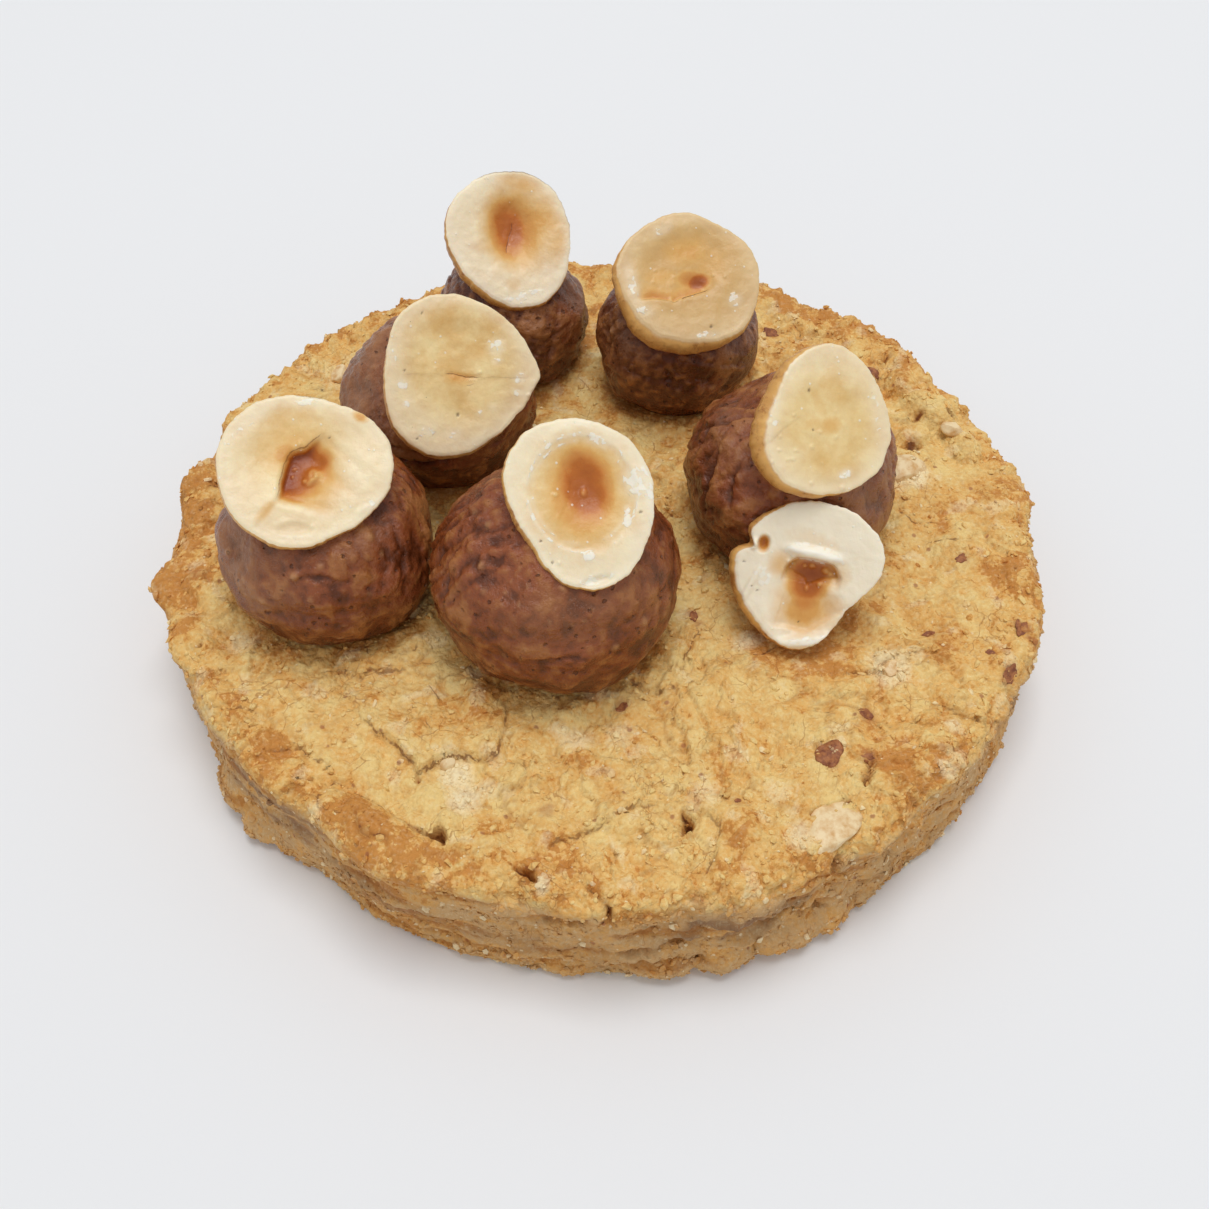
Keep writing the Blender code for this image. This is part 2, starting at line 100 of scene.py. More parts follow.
# Edges of lifted crust: how far the edge stands up, how far back it runs out, and the edge itself, with the
# lifted side on its left
CRUST_LIPS = (
    (1.15, 6.0, ((-24.3, -22.6), (-22.6, -26.3), (-21.4, -27.4), (-20.4, -28.3), (-18.9, -29.2),
        (-17.4, -30.7), (-16.8, -31.9), (-16.1, -31.6), (-14.9, -30.7), (-13.9, -30.1), (-12.8, -30.3),
        (-11.1, -30.4), (-10.0, -29.7), (-9.4, -27.9), (-9.2, -25.9), (-9.6, -24.2), (-8.9, -22.9))),
    (0.6, 3.0, ((-28.8, -20.2), (-25.9, -20.6), (-24.2, -20.9), (-22.9, -20.8), (-20.4, -20.3),
        (-17.9, -21.3))),
    (0.75, 3.5, ((-5.6, -39.7), (-3.9, -38.6), (-0.7, -37.6), (0.6, -36.7), (2.6, -35.1), (5.2, -35.4))),
    (0.45, 3.5, ((-10.0, -34.4), (-8.9, -33.8), (-7.8, -33.4), (-7.0, -32.0), (-7.4, -30.4))),
    (0.65, 3.0, ((0.6, -21.8), (3.2, -22.3), (4.7, -22.6), (5.9, -22.9))),
    (0.45, 3.0, ((22.2, -21.4), (23.7, -20.8), (25.2, -20.2), (27.0, -19.6), (28.2, -20.1))),
    (0.35, 2.5, ((30.4, -24.4), (32.4, -25.4), (34.6, -25.9), (35.6, -26.9))),
    (0.45, 3.0, ((-31.0, -29.5), (-28.6, -29.2), (-27.8, -29.1), (-26.6, -30.4), (-25.1, -31.2))),
    (0.4, 2.5, ((8.4, -35.2), (9.7, -37.6), (9.3, -39.6), (8.2, -41.8))),
    (0.4, 3.0, ((24.4, -29.4), (23.6, -31.0), (23.2, -33.0), (21.7, -34.7))),
)
# Cracks in the crust: half the width, the depth and the route
CRACKS = (
    (0.3, 0.7, ((-25.9, -20.5), (-24.8, -20.1), (-24.1, -20.6), (-22.9, -21.2))),
    (0.22, 0.5, ((-23.2, -17.1), (-22.8, -18.8))), (0.22, 0.5, ((-18.6, -18.3), (-18.1, -17.7))),
    (0.26, 0.5, ((-16.7, -21.8), (-16.3, -22.9), (-15.6, -24.0))),
    (0.24, 0.5, ((-16.4, -26.4), (-15.8, -28.2))),
    (0.24, 0.6, ((-36.8, -24.2), (-35.1, -24.7), (-33.5, -25.2), (-31.8, -25.6))),
    (0.24, 0.6, ((-29.2, -28.8), (-27.8, -29.1), (-26.6, -30.5), (-24.9, -31.6))),
    (0.24, 0.6, ((-24.9, -36.2), (-25.6, -35.0), (-25.1, -33.7), (-23.9, -33.0), (-22.4, -33.4))),
    (0.22, 0.7, ((-22.8, -33.4), (-21.0, -34.5), (-19.4, -35.4), (-17.8, -36.6), (-16.5, -37.5))),
    (0.42, 1.5, ((-17.2, -37.1), (-15.8, -37.9), (-14.6, -37.9), (-13.7, -39.2))),
    (0.4, 0.7, ((-21.9, -36.4), (-21.3, -37.6), (-20.1, -38.4), (-18.6, -38.8))),
    (0.28, 0.6, ((-10.0, -34.1), (-8.9, -33.8), (-7.8, -33.4), (-7.1, -32.3))),
    (0.26, 0.6, ((1.0, -22.0), (3.2, -22.4), (4.7, -22.7), (5.9, -22.9))),
    (0.2, 0.7, ((6.0, -21.8), (6.6, -23.3), (6.3, -25.9), (6.0, -27.9))),
    (0.22, 0.5, ((8.5, -29.9), (7.4, -31.0), (6.7, -32.0), (6.5, -33.6), (6.6, -35.2))),
    (0.42, 1.3, ((6.6, -35.9), (7.2, -36.8), (6.7, -37.9))),
    (0.24, 0.6, ((9.9, -36.3), (9.3, -37.9), (9.2, -40.3), (8.0, -42.4))),
    (0.24, 0.6, ((12.4, -19.0), (14.5, -18.6), (16.0, -18.0), (17.5, -17.2))),
    (0.26, 0.6, ((22.4, -21.3), (23.7, -20.7), (25.2, -20.2), (27.0, -19.6), (28.0, -20.0))),
    (0.48, 1.1, ((17.9, -36.3), (19.5, -35.6), (21.3, -34.8))),
    (0.4, 1.1, ((23.9, -30.4), (23.5, -32.0), (22.9, -33.4))),
    (0.3, 0.6, ((31.3, -24.9), (33.5, -25.8), (34.8, -26.1))),
    (0.22, 0.5, ((7.2, -20.6), (7.8, -18.6), (8.5, -16.1), (9.2, -14.6))),
    (0.2, 0.4, ((10.0, -15.0), (10.8, -15.8), (10.9, -16.6))),
    (0.24, 0.5, ((-0.3, -36.9), (1.7, -35.8), (3.0, -34.6))),
    (0.5, 1.2, ((-7.4, -41.4), (-6.4, -42.0), (-5.6, -42.7))),
    (0.34, 0.8, ((-7.4, -43.6), (-6.9, -44.6), (-7.2, -45.6))),
    (0.34, 0.8, ((-1.4, -43.0), (-0.1, -44.2), (0.8, -45.0))),
    (0.6, 1.3, ((18.7, -41.0), (19.9, -40.6), (21.2, -40.0))),
    (0.3, 0.7, ((-41.6, 3.0), (-39.8, 4.4), (-38.6, 7.6))),
    (0.3, 0.7, ((-34.0, 20.5), (-32.2, 19.2), (-29.6, 19.6))),
    (0.28, 0.6, ((-21.0, 36.4), (-18.4, 34.2), (-17.8, 31.6))),
    (0.3, 0.7, ((1.8, 41.6), (3.4, 38.4), (2.6, 36.2))),
    (0.3, 0.7, ((22.0, 33.6), (23.6, 30.8), (21.6, 28.0))),
    (0.34, 0.8, ((30.4, 14.6), (31.6, 18.2), (29.6, 21.0))),
    (0.26, 0.6, ((38.4, -2.6), (36.2, -4.2), (33.0, -4.0))),
    (0.26, 0.6, ((30.6, 1.4), (31.8, -0.8), (35.0, -1.2))),
)
# Holes: middle, radius, depth
PITS = (
    (-25.0, -31.5, 0.55, 1.2), (-27.3, -32.6, 0.5, 1.0), (-26.4, -32.7, 0.4, 0.8), (7.0, -36.9, 0.55, 1.5),
    (-6.3, -42.2, 0.75, 1.6), (23.2, -32.8, 0.55, 1.3), (19.9, -40.7, 0.95, 1.6), (-14.6, -38.4, 0.8, 1.9),
    (6.0, -28.0, 0.45, 1.0), (0.4, -44.8, 0.6, 1.2), (-16.9, -32.3, 0.6, 1.0), (-4.4, -23.6, 0.5, 0.9),
    (35.2, 14.6, 0.9, 1.4), (33.8, 10.8, 1.5, 1.8), (38.6, 14.6, 0.8, 1.2), (32.4, 24.8, 0.8, 1.2),
    (-38.8, -18.0, 0.5, 0.9), (-30.4, 30.2, 0.6, 1.0), (12.4, 39.6, 0.6, 1.0), (-9.0, 41.0, 0.5, 0.9),
)
# Gaps in the wall, where the dough did not close: direction and height of each end, half the height, depth
WALL_GAPS = (
    (271.5, 5.2, 276.0, 5.9, 0.55, 1.3), (276.0, 6.4, 281.5, 6.8, 0.6, 1.4),
    (287.5, 7.1, 291.5, 6.9, 0.65, 1.4), (292.5, 6.0, 296.0, 4.4, 0.6, 1.3),
    (262.8, 8.9, 265.4, 9.9, 0.3, 0.8), (265.5, 10.2, 268.0, 10.9, 0.28, 0.7),
    (301.0, 4.6, 306.0, 5.4, 0.5, 1.1), (318.0, 5.2, 323.0, 5.0, 0.5, 1.0), (15.0, 5.0, 23.0, 5.8, 0.5, 1.1),
    (62.0, 4.6, 68.0, 5.0, 0.5, 1.0), (104.0, 6.2, 110.0, 5.6, 0.5, 1.0), (148.0, 5.0, 156.0, 5.6, 0.5, 1.1),
    (199.0, 6.0, 204.0, 5.6, 0.45, 0.9),
)
# The direction in which the wall crumbled away most
CRUMBLY_SIDE = 306
# Patches of the top that baked darker, and of bare pale crumb: middle, radius, amount
BROWNED = (
    (-43.0, -3.0, 4.0, 1.0), (-42.5, 4.0, 4.0, 0.8), (-13.9, -25.5, 2.4, 0.4), (-11.2, -25.8, 2.0, 0.5),
    (-10.6, -22.0, 3.0, 0.3), (-18.9, -22.7, 2.4, 0.4), (-31.5, -27.2, 2.6, 0.5), (-22.8, -35.8, 2.4, 0.6),
    (-26.7, -33.6, 1.6, 0.5), (-20.5, -37.1, 2.2, 0.8), (-3.9, -39.6, 2.4, 0.5), (11.1, -37.1, 1.8, 0.6),
    (7.0, -23.8, 1.6, 0.3), (33.6, -18.5, 2.6, 0.6), (2.9, -39.6, 2.0, 0.5), (-30.0, -14.2, 2.6, 0.4),
    (-36.7, -17.9, 2.6, 0.4), (28.0, -6.4, 3.4, 0.3), (39.0, -7.7, 2.6, 0.4), (8.7, -26.1, 1.6, 0.3),
    (-2.3, -30.4, 2.4, 0.4), (20.3, -21.5, 2.4, 0.4), (-29.6, -28.8, 1.6, 0.7), (-30.8, -30.2, 1.4, 0.8),
    (-18.1, -39.6, 2.4, 0.9), (-15.0, -40.5, 2.0, 0.7), (-3.8, -43.3, 2.0, 0.6), (24.6, -27.2, 1.6, 0.9),
    (26.9, -31.5, 2.0, 0.6), (24.4, -30.6, 1.5, 0.9), (28.0, -30.6, 2.2, 0.5), (11.4, -41.5, 1.8, 0.7),
    (-40.6, -8.4, 2.6, 0.8), (36.8, 14.6, 5.0, -0.6), (39.8, 8.6, 4.0, -0.5), (33.8, 10.8, 1.2, 0.9),
    (2.9, 16.5, 2.5, 0.3), (21.5, -11.8, 2.2, 0.2), (-34.0, 8.0, 5.0, 0.3),
    (-26.0, 28.0, 6.0, 0.3), (3.0, 38.0, 7.0, 0.3), (26.0, 30.0, 6.0, 0.3),
)
PALE_CRUMB = (
    (-13.4, -31.9, 1.5, 0.9), (-12.4, -34.2, 1.6, 0.9), (-10.8, -33.4, 1.2, 0.5), (-2.7, -28.0, 1.4, 0.6),
    (-5.1, -42.6, 0.7, 0.8), (16.8, -38.1, 1.4, 0.7), (27.1, -20.3, 2.2, 0.7), (13.5, -16.7, 1.2, 0.7),
    (1.3, -27.7, 1.6, 0.4), (8.8, -33.6, 1.4, 0.5), (20.6, -29.4, 1.1, 0.7), (32.6, 6.0, 2.2, 1.0),
    (-20.0, -41.4, 1.2, 0.4), (32.0, -26.8, 0.9, 0.7), (30.8, -31.4, 0.8, 0.6), (-35.4, -16.7, 1.4, 0.5),
    (15.2, -33.4, 1.2, 0.4), (28.6, 13.4, 2.0, 0.5), (-30.0, 22.0, 3.0, 0.3), (-4.0, -27.4, 1.0, 0.5),
)
# Bits of brown hazelnut skin in the crust, likewise
SKIN_BITS = (
    (-5.3, -35.6, 0.8, 0.6), (1.5, -24.4, 0.7, 0.8), (8.5, -13.2, 0.6, 1.0), (9.2, -14.6, 0.4, 0.8),
    (31.6, -15.7, 0.5, 0.9), (40.7, -15.0, 0.8, 1.0), (41.2, -16.4, 0.5, 0.8), (38.6, -20.2, 0.6, 0.9),
    (38.2, -21.4, 0.7, 0.9), (20.0, -29.4, 0.9, 1.0), (20.4, -30.6, 0.8, 1.0), (24.4, -25.4, 0.9, 0.7),
    (23.6, -30.4, 0.8, 0.7), (11.6, -35.0, 0.4, 0.5), (37.0, -18.4, 0.4, 0.7), (-40.6, -8.8, 0.8, 0.6),
    (7.9, -43.9, 0.7, 0.6), (-24.0, 34.0, 0.7, 0.8), (20.0, 30.6, 0.8, 0.8), (2.0, 34.0, 0.6, 0.8),
    (36.2, -6.6, 0.6, 0.7), (-38.2, 12.0, 0.7, 0.7), (-8.0, 38.4, 0.6, 0.7), (31.0, 22.4, 0.7, 0.6),
)
# Smooth greyish smears that the ring left on the wall: direction, height, half sizes, amount
SMEARS = (
    (226, 8.6, 13, 3.4, 0.9), (243, 6.4, 9, 2.4, 0.6), (284, 8.4, 10, 2.6, 0.9), (262, 5.0, 9, 2.2, 0.5),
    (334, 8.0, 12, 2.6, 0.6), (20, 7.0, 14, 3.0, 0.7), (75, 7.6, 16, 3.0, 0.7), (130, 7.0, 16, 3.0, 0.7),
    (178, 7.6, 12, 3.0, 0.7),
)


def linear(colour):
    """An sRGB hex colour as the linear one that a shader takes."""
    parts = [int(colour[place:place + 2], 16) / 255 for place in (1, 3, 5)]
    return (*(part / 12.92 if part <= 0.04045 else ((part + 0.055) / 1.055) ** 2.4 for part in parts), 1.0)


def connect(node, inputs):
    """Sets each input of a node, by its name or number, to a value or to another node's output."""
    for place, value in inputs.items():
        if isinstance(value, bpy.types.NodeSocket):
            node.id_data.links.new(value, node.inputs[place])
        else:
            node.inputs[place].default_value = value


def add_node(tree, kind, inputs, output=0, **settings):
    """Adds a node and gives one of its outputs. Inputs without names are in the node's own order."""
    node = tree.nodes.new("ShaderNode" + kind)
    for name, value in settings.items():
        setattr(node, name, value)
    connect(node, inputs if isinstance(inputs, dict) else dict(enumerate(inputs)))
    return node.outputs[output]


def new_material(name, layers=()):
    """A material, its tree and shader, coordinates in metres, and the layers that it reads from a mesh."""
    made = bpy.data.materials.new(name)
    made.use_nodes = True
    tree = made.node_tree
    coordinates = add_node(tree, "TexCoord", {}, "Object")
    layer = {label: add_node(tree, "Attribute", {}, "Fac", attribute_name=label) for label in layers}
    return made, tree, tree.nodes["Principled BSDF"], coordinates, layer


def ease(value):
    """Zero below 0 and one above 1, with a smooth rise between."""
    value = np.clip(value, 0.0, 1.0)
    return value * value * (3 - 2 * value)


def lumps(places, size, seed=0.0):
    """Random smooth heights of about -1 to 1 at places, in lumps of a size."""
    return np.array([noise.noise(Vector(place)) for place in places / size + seed])


def sway(places, size, seeds):
    """Two unrelated kinds of lumps side by side, to bend places by."""
    return np.stack([lumps(places, size, seed) for seed in seeds], 1)


def granules(places, size, seed=0.0):
    """How far each place is from the middle of a random granule, and from the edge to the next one."""
    found = [noise.voronoi(Vector(place))[0] for place in places / size + seed]
    return np.array([near[0] for near in found]), np.array([near[1] - near[0] for near in found])


def turn_from(degrees, direction):
    """The turn from a direction, between -180 and 180 degrees."""
    return (degrees - direction + 180) % 360 - 180


def about_z(degrees):
    """The matrix of a turn about the upright axis."""
    ahead, aside = math.cos(math.radians(degrees)), math.sin(math.radians(degrees))
    return np.array([[ahead, -aside, 0], [aside, ahead, 0], [0, 0, 1]])


def spot(x, y, across, along, wide, tall, turn=0, sharpness=1.0):
    """A spot of two half sizes: one in its middle, fading outwards, the steeper the sharper."""
    angle = math.radians(turn)
    right = (x - across) * math.cos(angle) + (y - along) * math.sin(angle)
    up = (y - along) * math.cos(angle) - (x - across) * math.sin(angle)
    return np.exp(-(((right / wide) ** 2 + (up / tall) ** 2) ** sharpness))


def strongest(x, y, rows, sharpness):
    """The strongest at each place of some spots, each given as a spot and its strength."""
    return np.max([strength * spot(x, y, *shape, sharpness) for *shape, strength in rows], 0)


def to_route(flat, route):
    """The distance from each place to a route, how far along it is nearest, and which side it lies on."""
    points = np.array(route)
    leg = np.diff(points, axis=0)[:, None]
    start = flat - points[:-1, None]
    share = np.clip((start * leg).sum(2) / (leg**2).sum(2), 0, 1)
    gap = start - share[..., None] * leg
    distance = np.hypot(gap[..., 0], gap[..., 1])
    nearest = distance.argmin(0), np.arange(len(flat))
    side = np.sign(leg[..., 0] * gap[..., 1] - leg[..., 1] * gap[..., 0])
    return distance[nearest], (nearest[0] + share[nearest]) / len(leg), side[nearest]


def tapered(along, margin, power=0.5):
    """Full along the middle of a route, and less towards its ends."""
    return np.sin(np.pi * np.clip(along, margin, 1 - margin)) ** power


def near_lines(flat, lines):
    """The signed distance to the nearest line, as a layer, and how dark that line is beside each place."""
    best = np.full(len(flat), 1e9)
    signed, dark = np.ones(len(flat)), np.zeros(len(flat))
    for darkness, route in lines:
        distance, along, side = to_route(flat, route)
        nearer = distance < best
        beside = ease(np.minimum(along, 1 - along) / 0.15) * ease((1.0 - distance) / 0.4)
        best = np.where(nearer, distance, best)
        signed = np.where(nearer, side * distance, signed)
        dark = np.where(nearer, darkness * beside, dark)
    return 0.5 + signed / LINE_SPAN, dark


def thin_line(tree, coordinates, layer, half_width):
    """How dark the painted lines are at each point, drawn finer than the mesh, with a wandering edge."""
    reach = half_width / LINE_SPAN
    wander = add_node(tree, "TexNoise", {
        "Vector": coordinates, "Scale": 1 / (WANDER_SIZE * MM), "Detail": 3.0,
    })
    wander = add_node(tree, "MapRange", (wander, 0.3, 0.7, -0.5 - 0.9 * reach, -0.5 + 0.9 * reach))
    away = add_node(tree, "Math", (layer["line_side"], wander), operation="ADD")
    away = add_node(tree, "Math", (away,), operation="ABSOLUTE")
    inside = add_node(tree, "MapRange", (away, reach, 0.4 * reach))
    return add_node(tree, "Math", (inside, layer["line_dark"]), operation="MULTIPLY")


def over(places, normals, middle, half_sizes, turn):
    """How far along its normal each place must move to reach the outside of an egg shape, or 0."""
    start = (places - middle) @ about_z(turn) / half_sizes
    step = normals @ about_z(turn) / half_sizes
    a, b, c = (step**2).sum(1), (start * step).sum(1), (start**2).sum(1) - 1
    met = b * b - a * c
    return np.where(met > 0, np.maximum((np.sqrt(np.maximum(met, 0)) - b) / a, 0), 0)


def disc_grid(steps):
    """The corners of a square grid bent onto the disc of radius 1, so that its cells stay nearly square."""
    line = np.linspace(-1, 1, steps + 1)
    u, v = np.meshgrid(line, line)
    wide = np.abs(u) > np.abs(v)
    reach, other = np.where(wide, u, v), np.where(wide, v, u)
    turn = math.pi / 4 * np.divide(other, reach, out=np.zeros_like(u), where=reach != 0)
    x = np.where(wide, reach * np.cos(turn), reach * np.sin(turn))
    y = np.where(wide, reach * np.sin(turn), reach * np.cos(turn))
    return x.ravel(), y.ravel()


def grid_rim(steps):
    """The indices of a grid's outer corners, anticlockwise."""
    corner = np.arange((steps + 1) ** 2).reshape(steps + 1, -1)
    return np.concatenate([corner[0, :-1], corner[:-1, -1], corner[-1, :0:-1], corner[:0:-1, 0]]).tolist()


def grid_quads(steps):
    """The faces of a grid, facing up."""
    corner = np.arange((steps + 1) ** 2).reshape(steps + 1, -1)
    return np.stack([corner[:-1, :-1], corner[:-1, 1:], corner[1:, 1:], corner[1:, :-1]], -1).reshape(-1, 4)


def new_mesh(name, places, faces, smooth=True):
    """A mesh of places in millimetres."""
    mesh = bpy.data.meshes.new(name)
    mesh.from_pydata((places * MM).tolist(), [], faces)
    if smooth:
        mesh.shade_smooth()
    return mesh


def grid_with_skirt(name, steps, places):
    """The closed mesh of a grid and the rows of a skirt below its rim, with one flat face underneath."""
    faces = grid_quads(steps).tolist()
    ring = grid_rim(steps)
    for first in range((steps + 1) ** 2, len(places), len(ring)):
        lower = list(range(first, first + len(ring)))
        faces += zip(ring, lower, lower[1:] + lower[:1], ring[1:] + ring[:1])
        ring = lower
    faces.append(ring[::-1])
    return new_mesh(name, places, faces)


def add_piece(name, mesh, finish, replaced=()):
    """An object of a mesh that rides on the cookie, with its finish."""
    piece = bpy.data.objects.new(name, mesh)
    bpy.context.scene.collection.objects.link(piece)
    mesh.materials.append(finish)
    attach(piece, "root")
    if replaced:
        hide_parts(*replaced)


def paint(mesh, **layers):
    """Stores a value of 0 to 1 at each vertex for each named layer, for the material to read."""
    for name, values in layers.items():
        layer = mesh.attributes.new(name, "FLOAT", "POINT")
        layer.data.foreach_set("value", np.clip(values, 0, 1).astype(np.float32))


def biscuit_places():
    """The smooth disc before it is roughened: places, their outward normals and their directions."""
    x, y = disc_grid(TOP_STEPS)
    disc = x + 1j * y
    disc = (disc - 1j * FRONT_CLOSER) / (1 + 1j * FRONT_CLOSER * disc)
    angle, reach = np.angle(disc), np.minimum(np.abs(disc), 1.0)
    flat = RING_RADIUS - SHOULDER
    path = reach * (flat + SHOULDER * math.pi / 2)
    bend = np.maximum(path - flat, 0) / SHOULDER
    lean = np.sin(bend)
    top = np.minimum(path, flat) + SHOULDER * lean, THICKNESS - SHOULDER * (1 - np.cos(bend)), lean
    fall = THICKNESS - SHOULDER - FOOT
    rows = [(RING_RADIUS, FOOT + fall * (1 - row / WALL_ROWS), 1.0) for row in range(1, WALL_ROWS + 1)]
    rows += [(RING_RADIUS - inward * FOOT, high * FOOT, lean) for inward, high, lean in FOOT_ROWS]
    rim = grid_rim(TOP_STEPS)
    angle = np.append(angle, np.tile(angle[rim], len(rows)))
    radius, height, lean = (np.append(part, np.repeat(row, len(rim))) for part, row in zip(top, zip(*rows)))
    places = np.stack([radius * np.cos(angle), radius * np.sin(angle), height], 1)
    normals = np.stack([lean * np.cos(angle), lean * np.sin(angle), np.sqrt(1 - lean**2)], 1)
    normals[-len(rim):] = (0, 0, -1)
    return places, normals, np.degrees(angle)


def make_biscuit():
    """The roughened biscuit, with its cracks, lips, lumps and gaps, and the layers its material reads."""
    base, normals, angle = biscuit_places()
    flat, height = base[:, :2], base[:, 2]
    from_middle = np.hypot(*flat.T)
    on_top = ease((normals[:, 2] - 0.1) / 0.6)
    on_wall = 1 - on_top
    above_foot = ease((height - 0.15) / 0.9)

    # Beside the balls the crust lies flat, and is painted darker and warmer: for their fat, and as the shade
    # under them
    away = np.min([np.hypot(flat[:, 0] - x, flat[:, 1] - y) - radius for x, y, radius in SEATS], 0)
    below_top = height < THICKNESS - 0.5
    free = np.where(below_top, height >= 0.5 * FOOT, ease(away / 2.5))
    near = np.where(below_top, 1.0, ease(away / 1.2 + 0.6))
    fat_and_shade = ease((3.6 - away) / 3.6) * on_top

    # The broad lumps are those of the solid model, flatter where the ring held the wall
    out = free * sum(depth * lumps(base, size) for size, depth in CRUMB_LUMPS) * (1 - 0.45 * on_wall)
    wobble = 0.55 * sway(base, 1.5, (11.0, 23.0)) + 0.10 * sway(base, 0.8, (37.0, 41.0))
    bent = flat + wobble
    raised = np.column_stack([bent, height])

    # Overlapping flakes of crust: a slope that breaks off in a ragged step
    sheet = 2.6 * lumps(raised, 8.0, 5.0) + 1.2 * lumps(raised, 2.6, 7.0)
    part = sheet - np.floor(sheet)
    flake = SHEET_STEP * (part - ease((part - 0.91) / 0.09)) - 0.16
    broken = ease((lumps(base, 11.0, 61.0) + 0.20) / 0.3)
    out += flake * near * on_top * (0.25 + 0.75 * broken)
    # Painted shade at the foot of each broken flake step
    step_shade = 0.5 * ease((part - 0.90) / 0.05) * ease((1.0 - part) / 0.03) * broken

    # Clods of dough with seams between them, pressed flat by the ring on the wall
    clod, seam = 0.0, 0.0
    open_crust = ease((lumps(base, 7.0, 107.0) + 0.30) / 0.5)
    for size, depth, first in CLODS:
        _, edge_of = granules(raised, size, first)
        clod = clod + depth * (ease(edge_of / 0.34) - 0.65)
        seam = np.maximum(seam, ease(1 - edge_of / 0.075) * ease((lumps(base, 4.0, first) + 0.02) / 0.2))
    crumbly = on_wall * ease((np.cos(np.radians(angle - CRUMBLY_SIDE)) - 0.62) / 0.25)
    edge_rough = ease((from_middle - 38.0) / 4.0) * on_top
    loose_crust = np.maximum(0.22 + 0.78 * open_crust, edge_rough)
    out += clod * loose_crust * (0.3 + 0.7 * near) * above_foot * (1 - 0.72 * (on_wall - crumbly))

    # Fine cracks between plates of crust
    _, edge_of = granules(raised, 7.0, 3.0)
    crackle = ease(1 - edge_of / 0.040) * ease((lumps(base, 8.0, 71.0) - 0.12) / 0.15) * on_top * near
    out -= CRACKLE_DEPTH * crackle

    # Grains and small nubs of crumb
    grain = sum(depth * lumps(base, size, 13.0) for size, depth in CRUMB_GRAINS)
    nub_near, _ = granules(base, 1.35, 17.0)
    nub = NUB_HEIGHT * ease(1 - nub_near / 0.8)
    # Painted shade: the height of the grains, nubs and clods, for the colour to darken the low places
    height_for_shade = 0.5 + 0.8 * grain + 0.6 * (nub - 0.12) + 0.7 * clod
    coarse = ease((lumps(base, 6.0, 31.0) + 0.30) / 0.5)
    smooth_wall = 1 - 0.25 * on_wall * ease((height - 2.5) / 3.0)
    plate = 0.55 + 0.45 * np.maximum(open_crust, edge_rough)
    rough = plate * (0.35 + 0.65 * near) * above_foot * smooth_wall * (1 + 0.3 * edge_rough)
    out += (grain + nub * coarse) * rough
    out += 0.45 * lumps(base, 2.3, 53.0) * on_wall * ease((4.2 - height) / 2.0) * above_foot
    out += (0.50 * lumps(raised, 2.1, 57.0) + 0.6 * grain) * crumbly * above_foot

    # The wall shows where the dough was dragged along the ring
    around = np.stack([angle * 0.79, height, 0 * angle], 1)
    dragged = lumps(around / (9.0, 1.1, 1.0), 1.0, 19.0)
    out += DRAG_DEPTH * dragged * on_wall * above_foot

    # Edges of lifted crust, cracks, holes and gaps
    for rise, fade, route in CRUST_LIPS:
        distance, along, side = to_route(bent, route)
        signed = side * distance
        there = tapered(along, 0.03, 0.4) * (((along > 0.001) & (along < 0.999)) | (distance < 0.5))
        lifted = ease((signed + 0.08) / 0.30) * np.exp(-distance / fade) * ease(2.2 - distance / fade)
        under = (side <= 0) * ease(1 - distance / 0.6)
        out += near * on_top * there * (rise * lifted - 0.10 * under)
        shade = ease((0.10 - signed) / 0.15) * ease((signed + 0.34) / 0.20)
        step_shade = np.maximum(step_shade, min(0.5, 0.10 + 0.32 * rise) * there * shade)
    # Painted shade, darkest where it is deepest: in cracks, holes, seams and gaps, and below lifted crust
    # edges
    recess_shade = np.maximum(0.4 * crackle, (0.7 * step_shade + 0.22 * seam) * on_top * near)
    for width, depth, route in CRACKS:
        distance, along, _ = to_route(bent, route)
        taper = tapered(along, 0.06)
        groove = ease(1.15 - distance / (width * taper + 0.05)) * on_top
        out -= groove * depth * taper * (0.45 + 0.55 * ease((width - 0.22) / 0.26))
        recess_shade = np.maximum(recess_shade, groove * (0.12 + 0.88 * ease((width - 0.24) / 0.24)))
    for x, y, radius, depth in PITS:
        hole = ease(1.3 - np.hypot(bent[:, 0] - x, 1.3 * (bent[:, 1] - y)) / (0.62 * radius))
        hole *= ease((height - 8) / 3)
        out -= hole * depth
        recess_shade = np.maximum(recess_shade, hole)
    unrolled = np.stack([(angle % 360) * MM_PER_DEGREE + wobble[:, 0], height + 0.8 * wobble[:, 1]], 1)
    for start, low, end, high, half, depth in WALL_GAPS:
        distance, along, _ = to_route(unrolled, ((start * MM_PER_DEGREE, low), (end * MM_PER_DEGREE, high)))
        taper = tapered(along, 0.08)
        groove = ease(1.2 - distance / (half * taper + 0.05)) * on_wall
        out -= groove * depth * taper
        recess_shade = np.maximum(recess_shade, 0.9 * groove)

    # Lumps that stand out of the rim and the foot
    stand = np.max([over(base, normals, *piece) for piece in CRUMB_PIECES], 0)
    lump_free = ease(1 - stand / 0.6)
    out = np.where(stand > 0, np.maximum(out * lump_free, 0) + stand + 0.5 * out * (1 - lump_free), out)
    places = base + normals * (out * above_foot)[:, None]
    swell = sum(reach * np.exp(-((turn_from(angle, way) / spread) ** 2)) for way, reach, spread in EDGE_LUMPS)
    share = (np.hypot(places[:, 0], places[:, 1]) / RING_RADIUS) ** 4
    places[:, :2] *= (1 + share * swell / RING_RADIUS)[:, None]
    places[:, 2] = np.maximum(places[:, 2], 0.0)
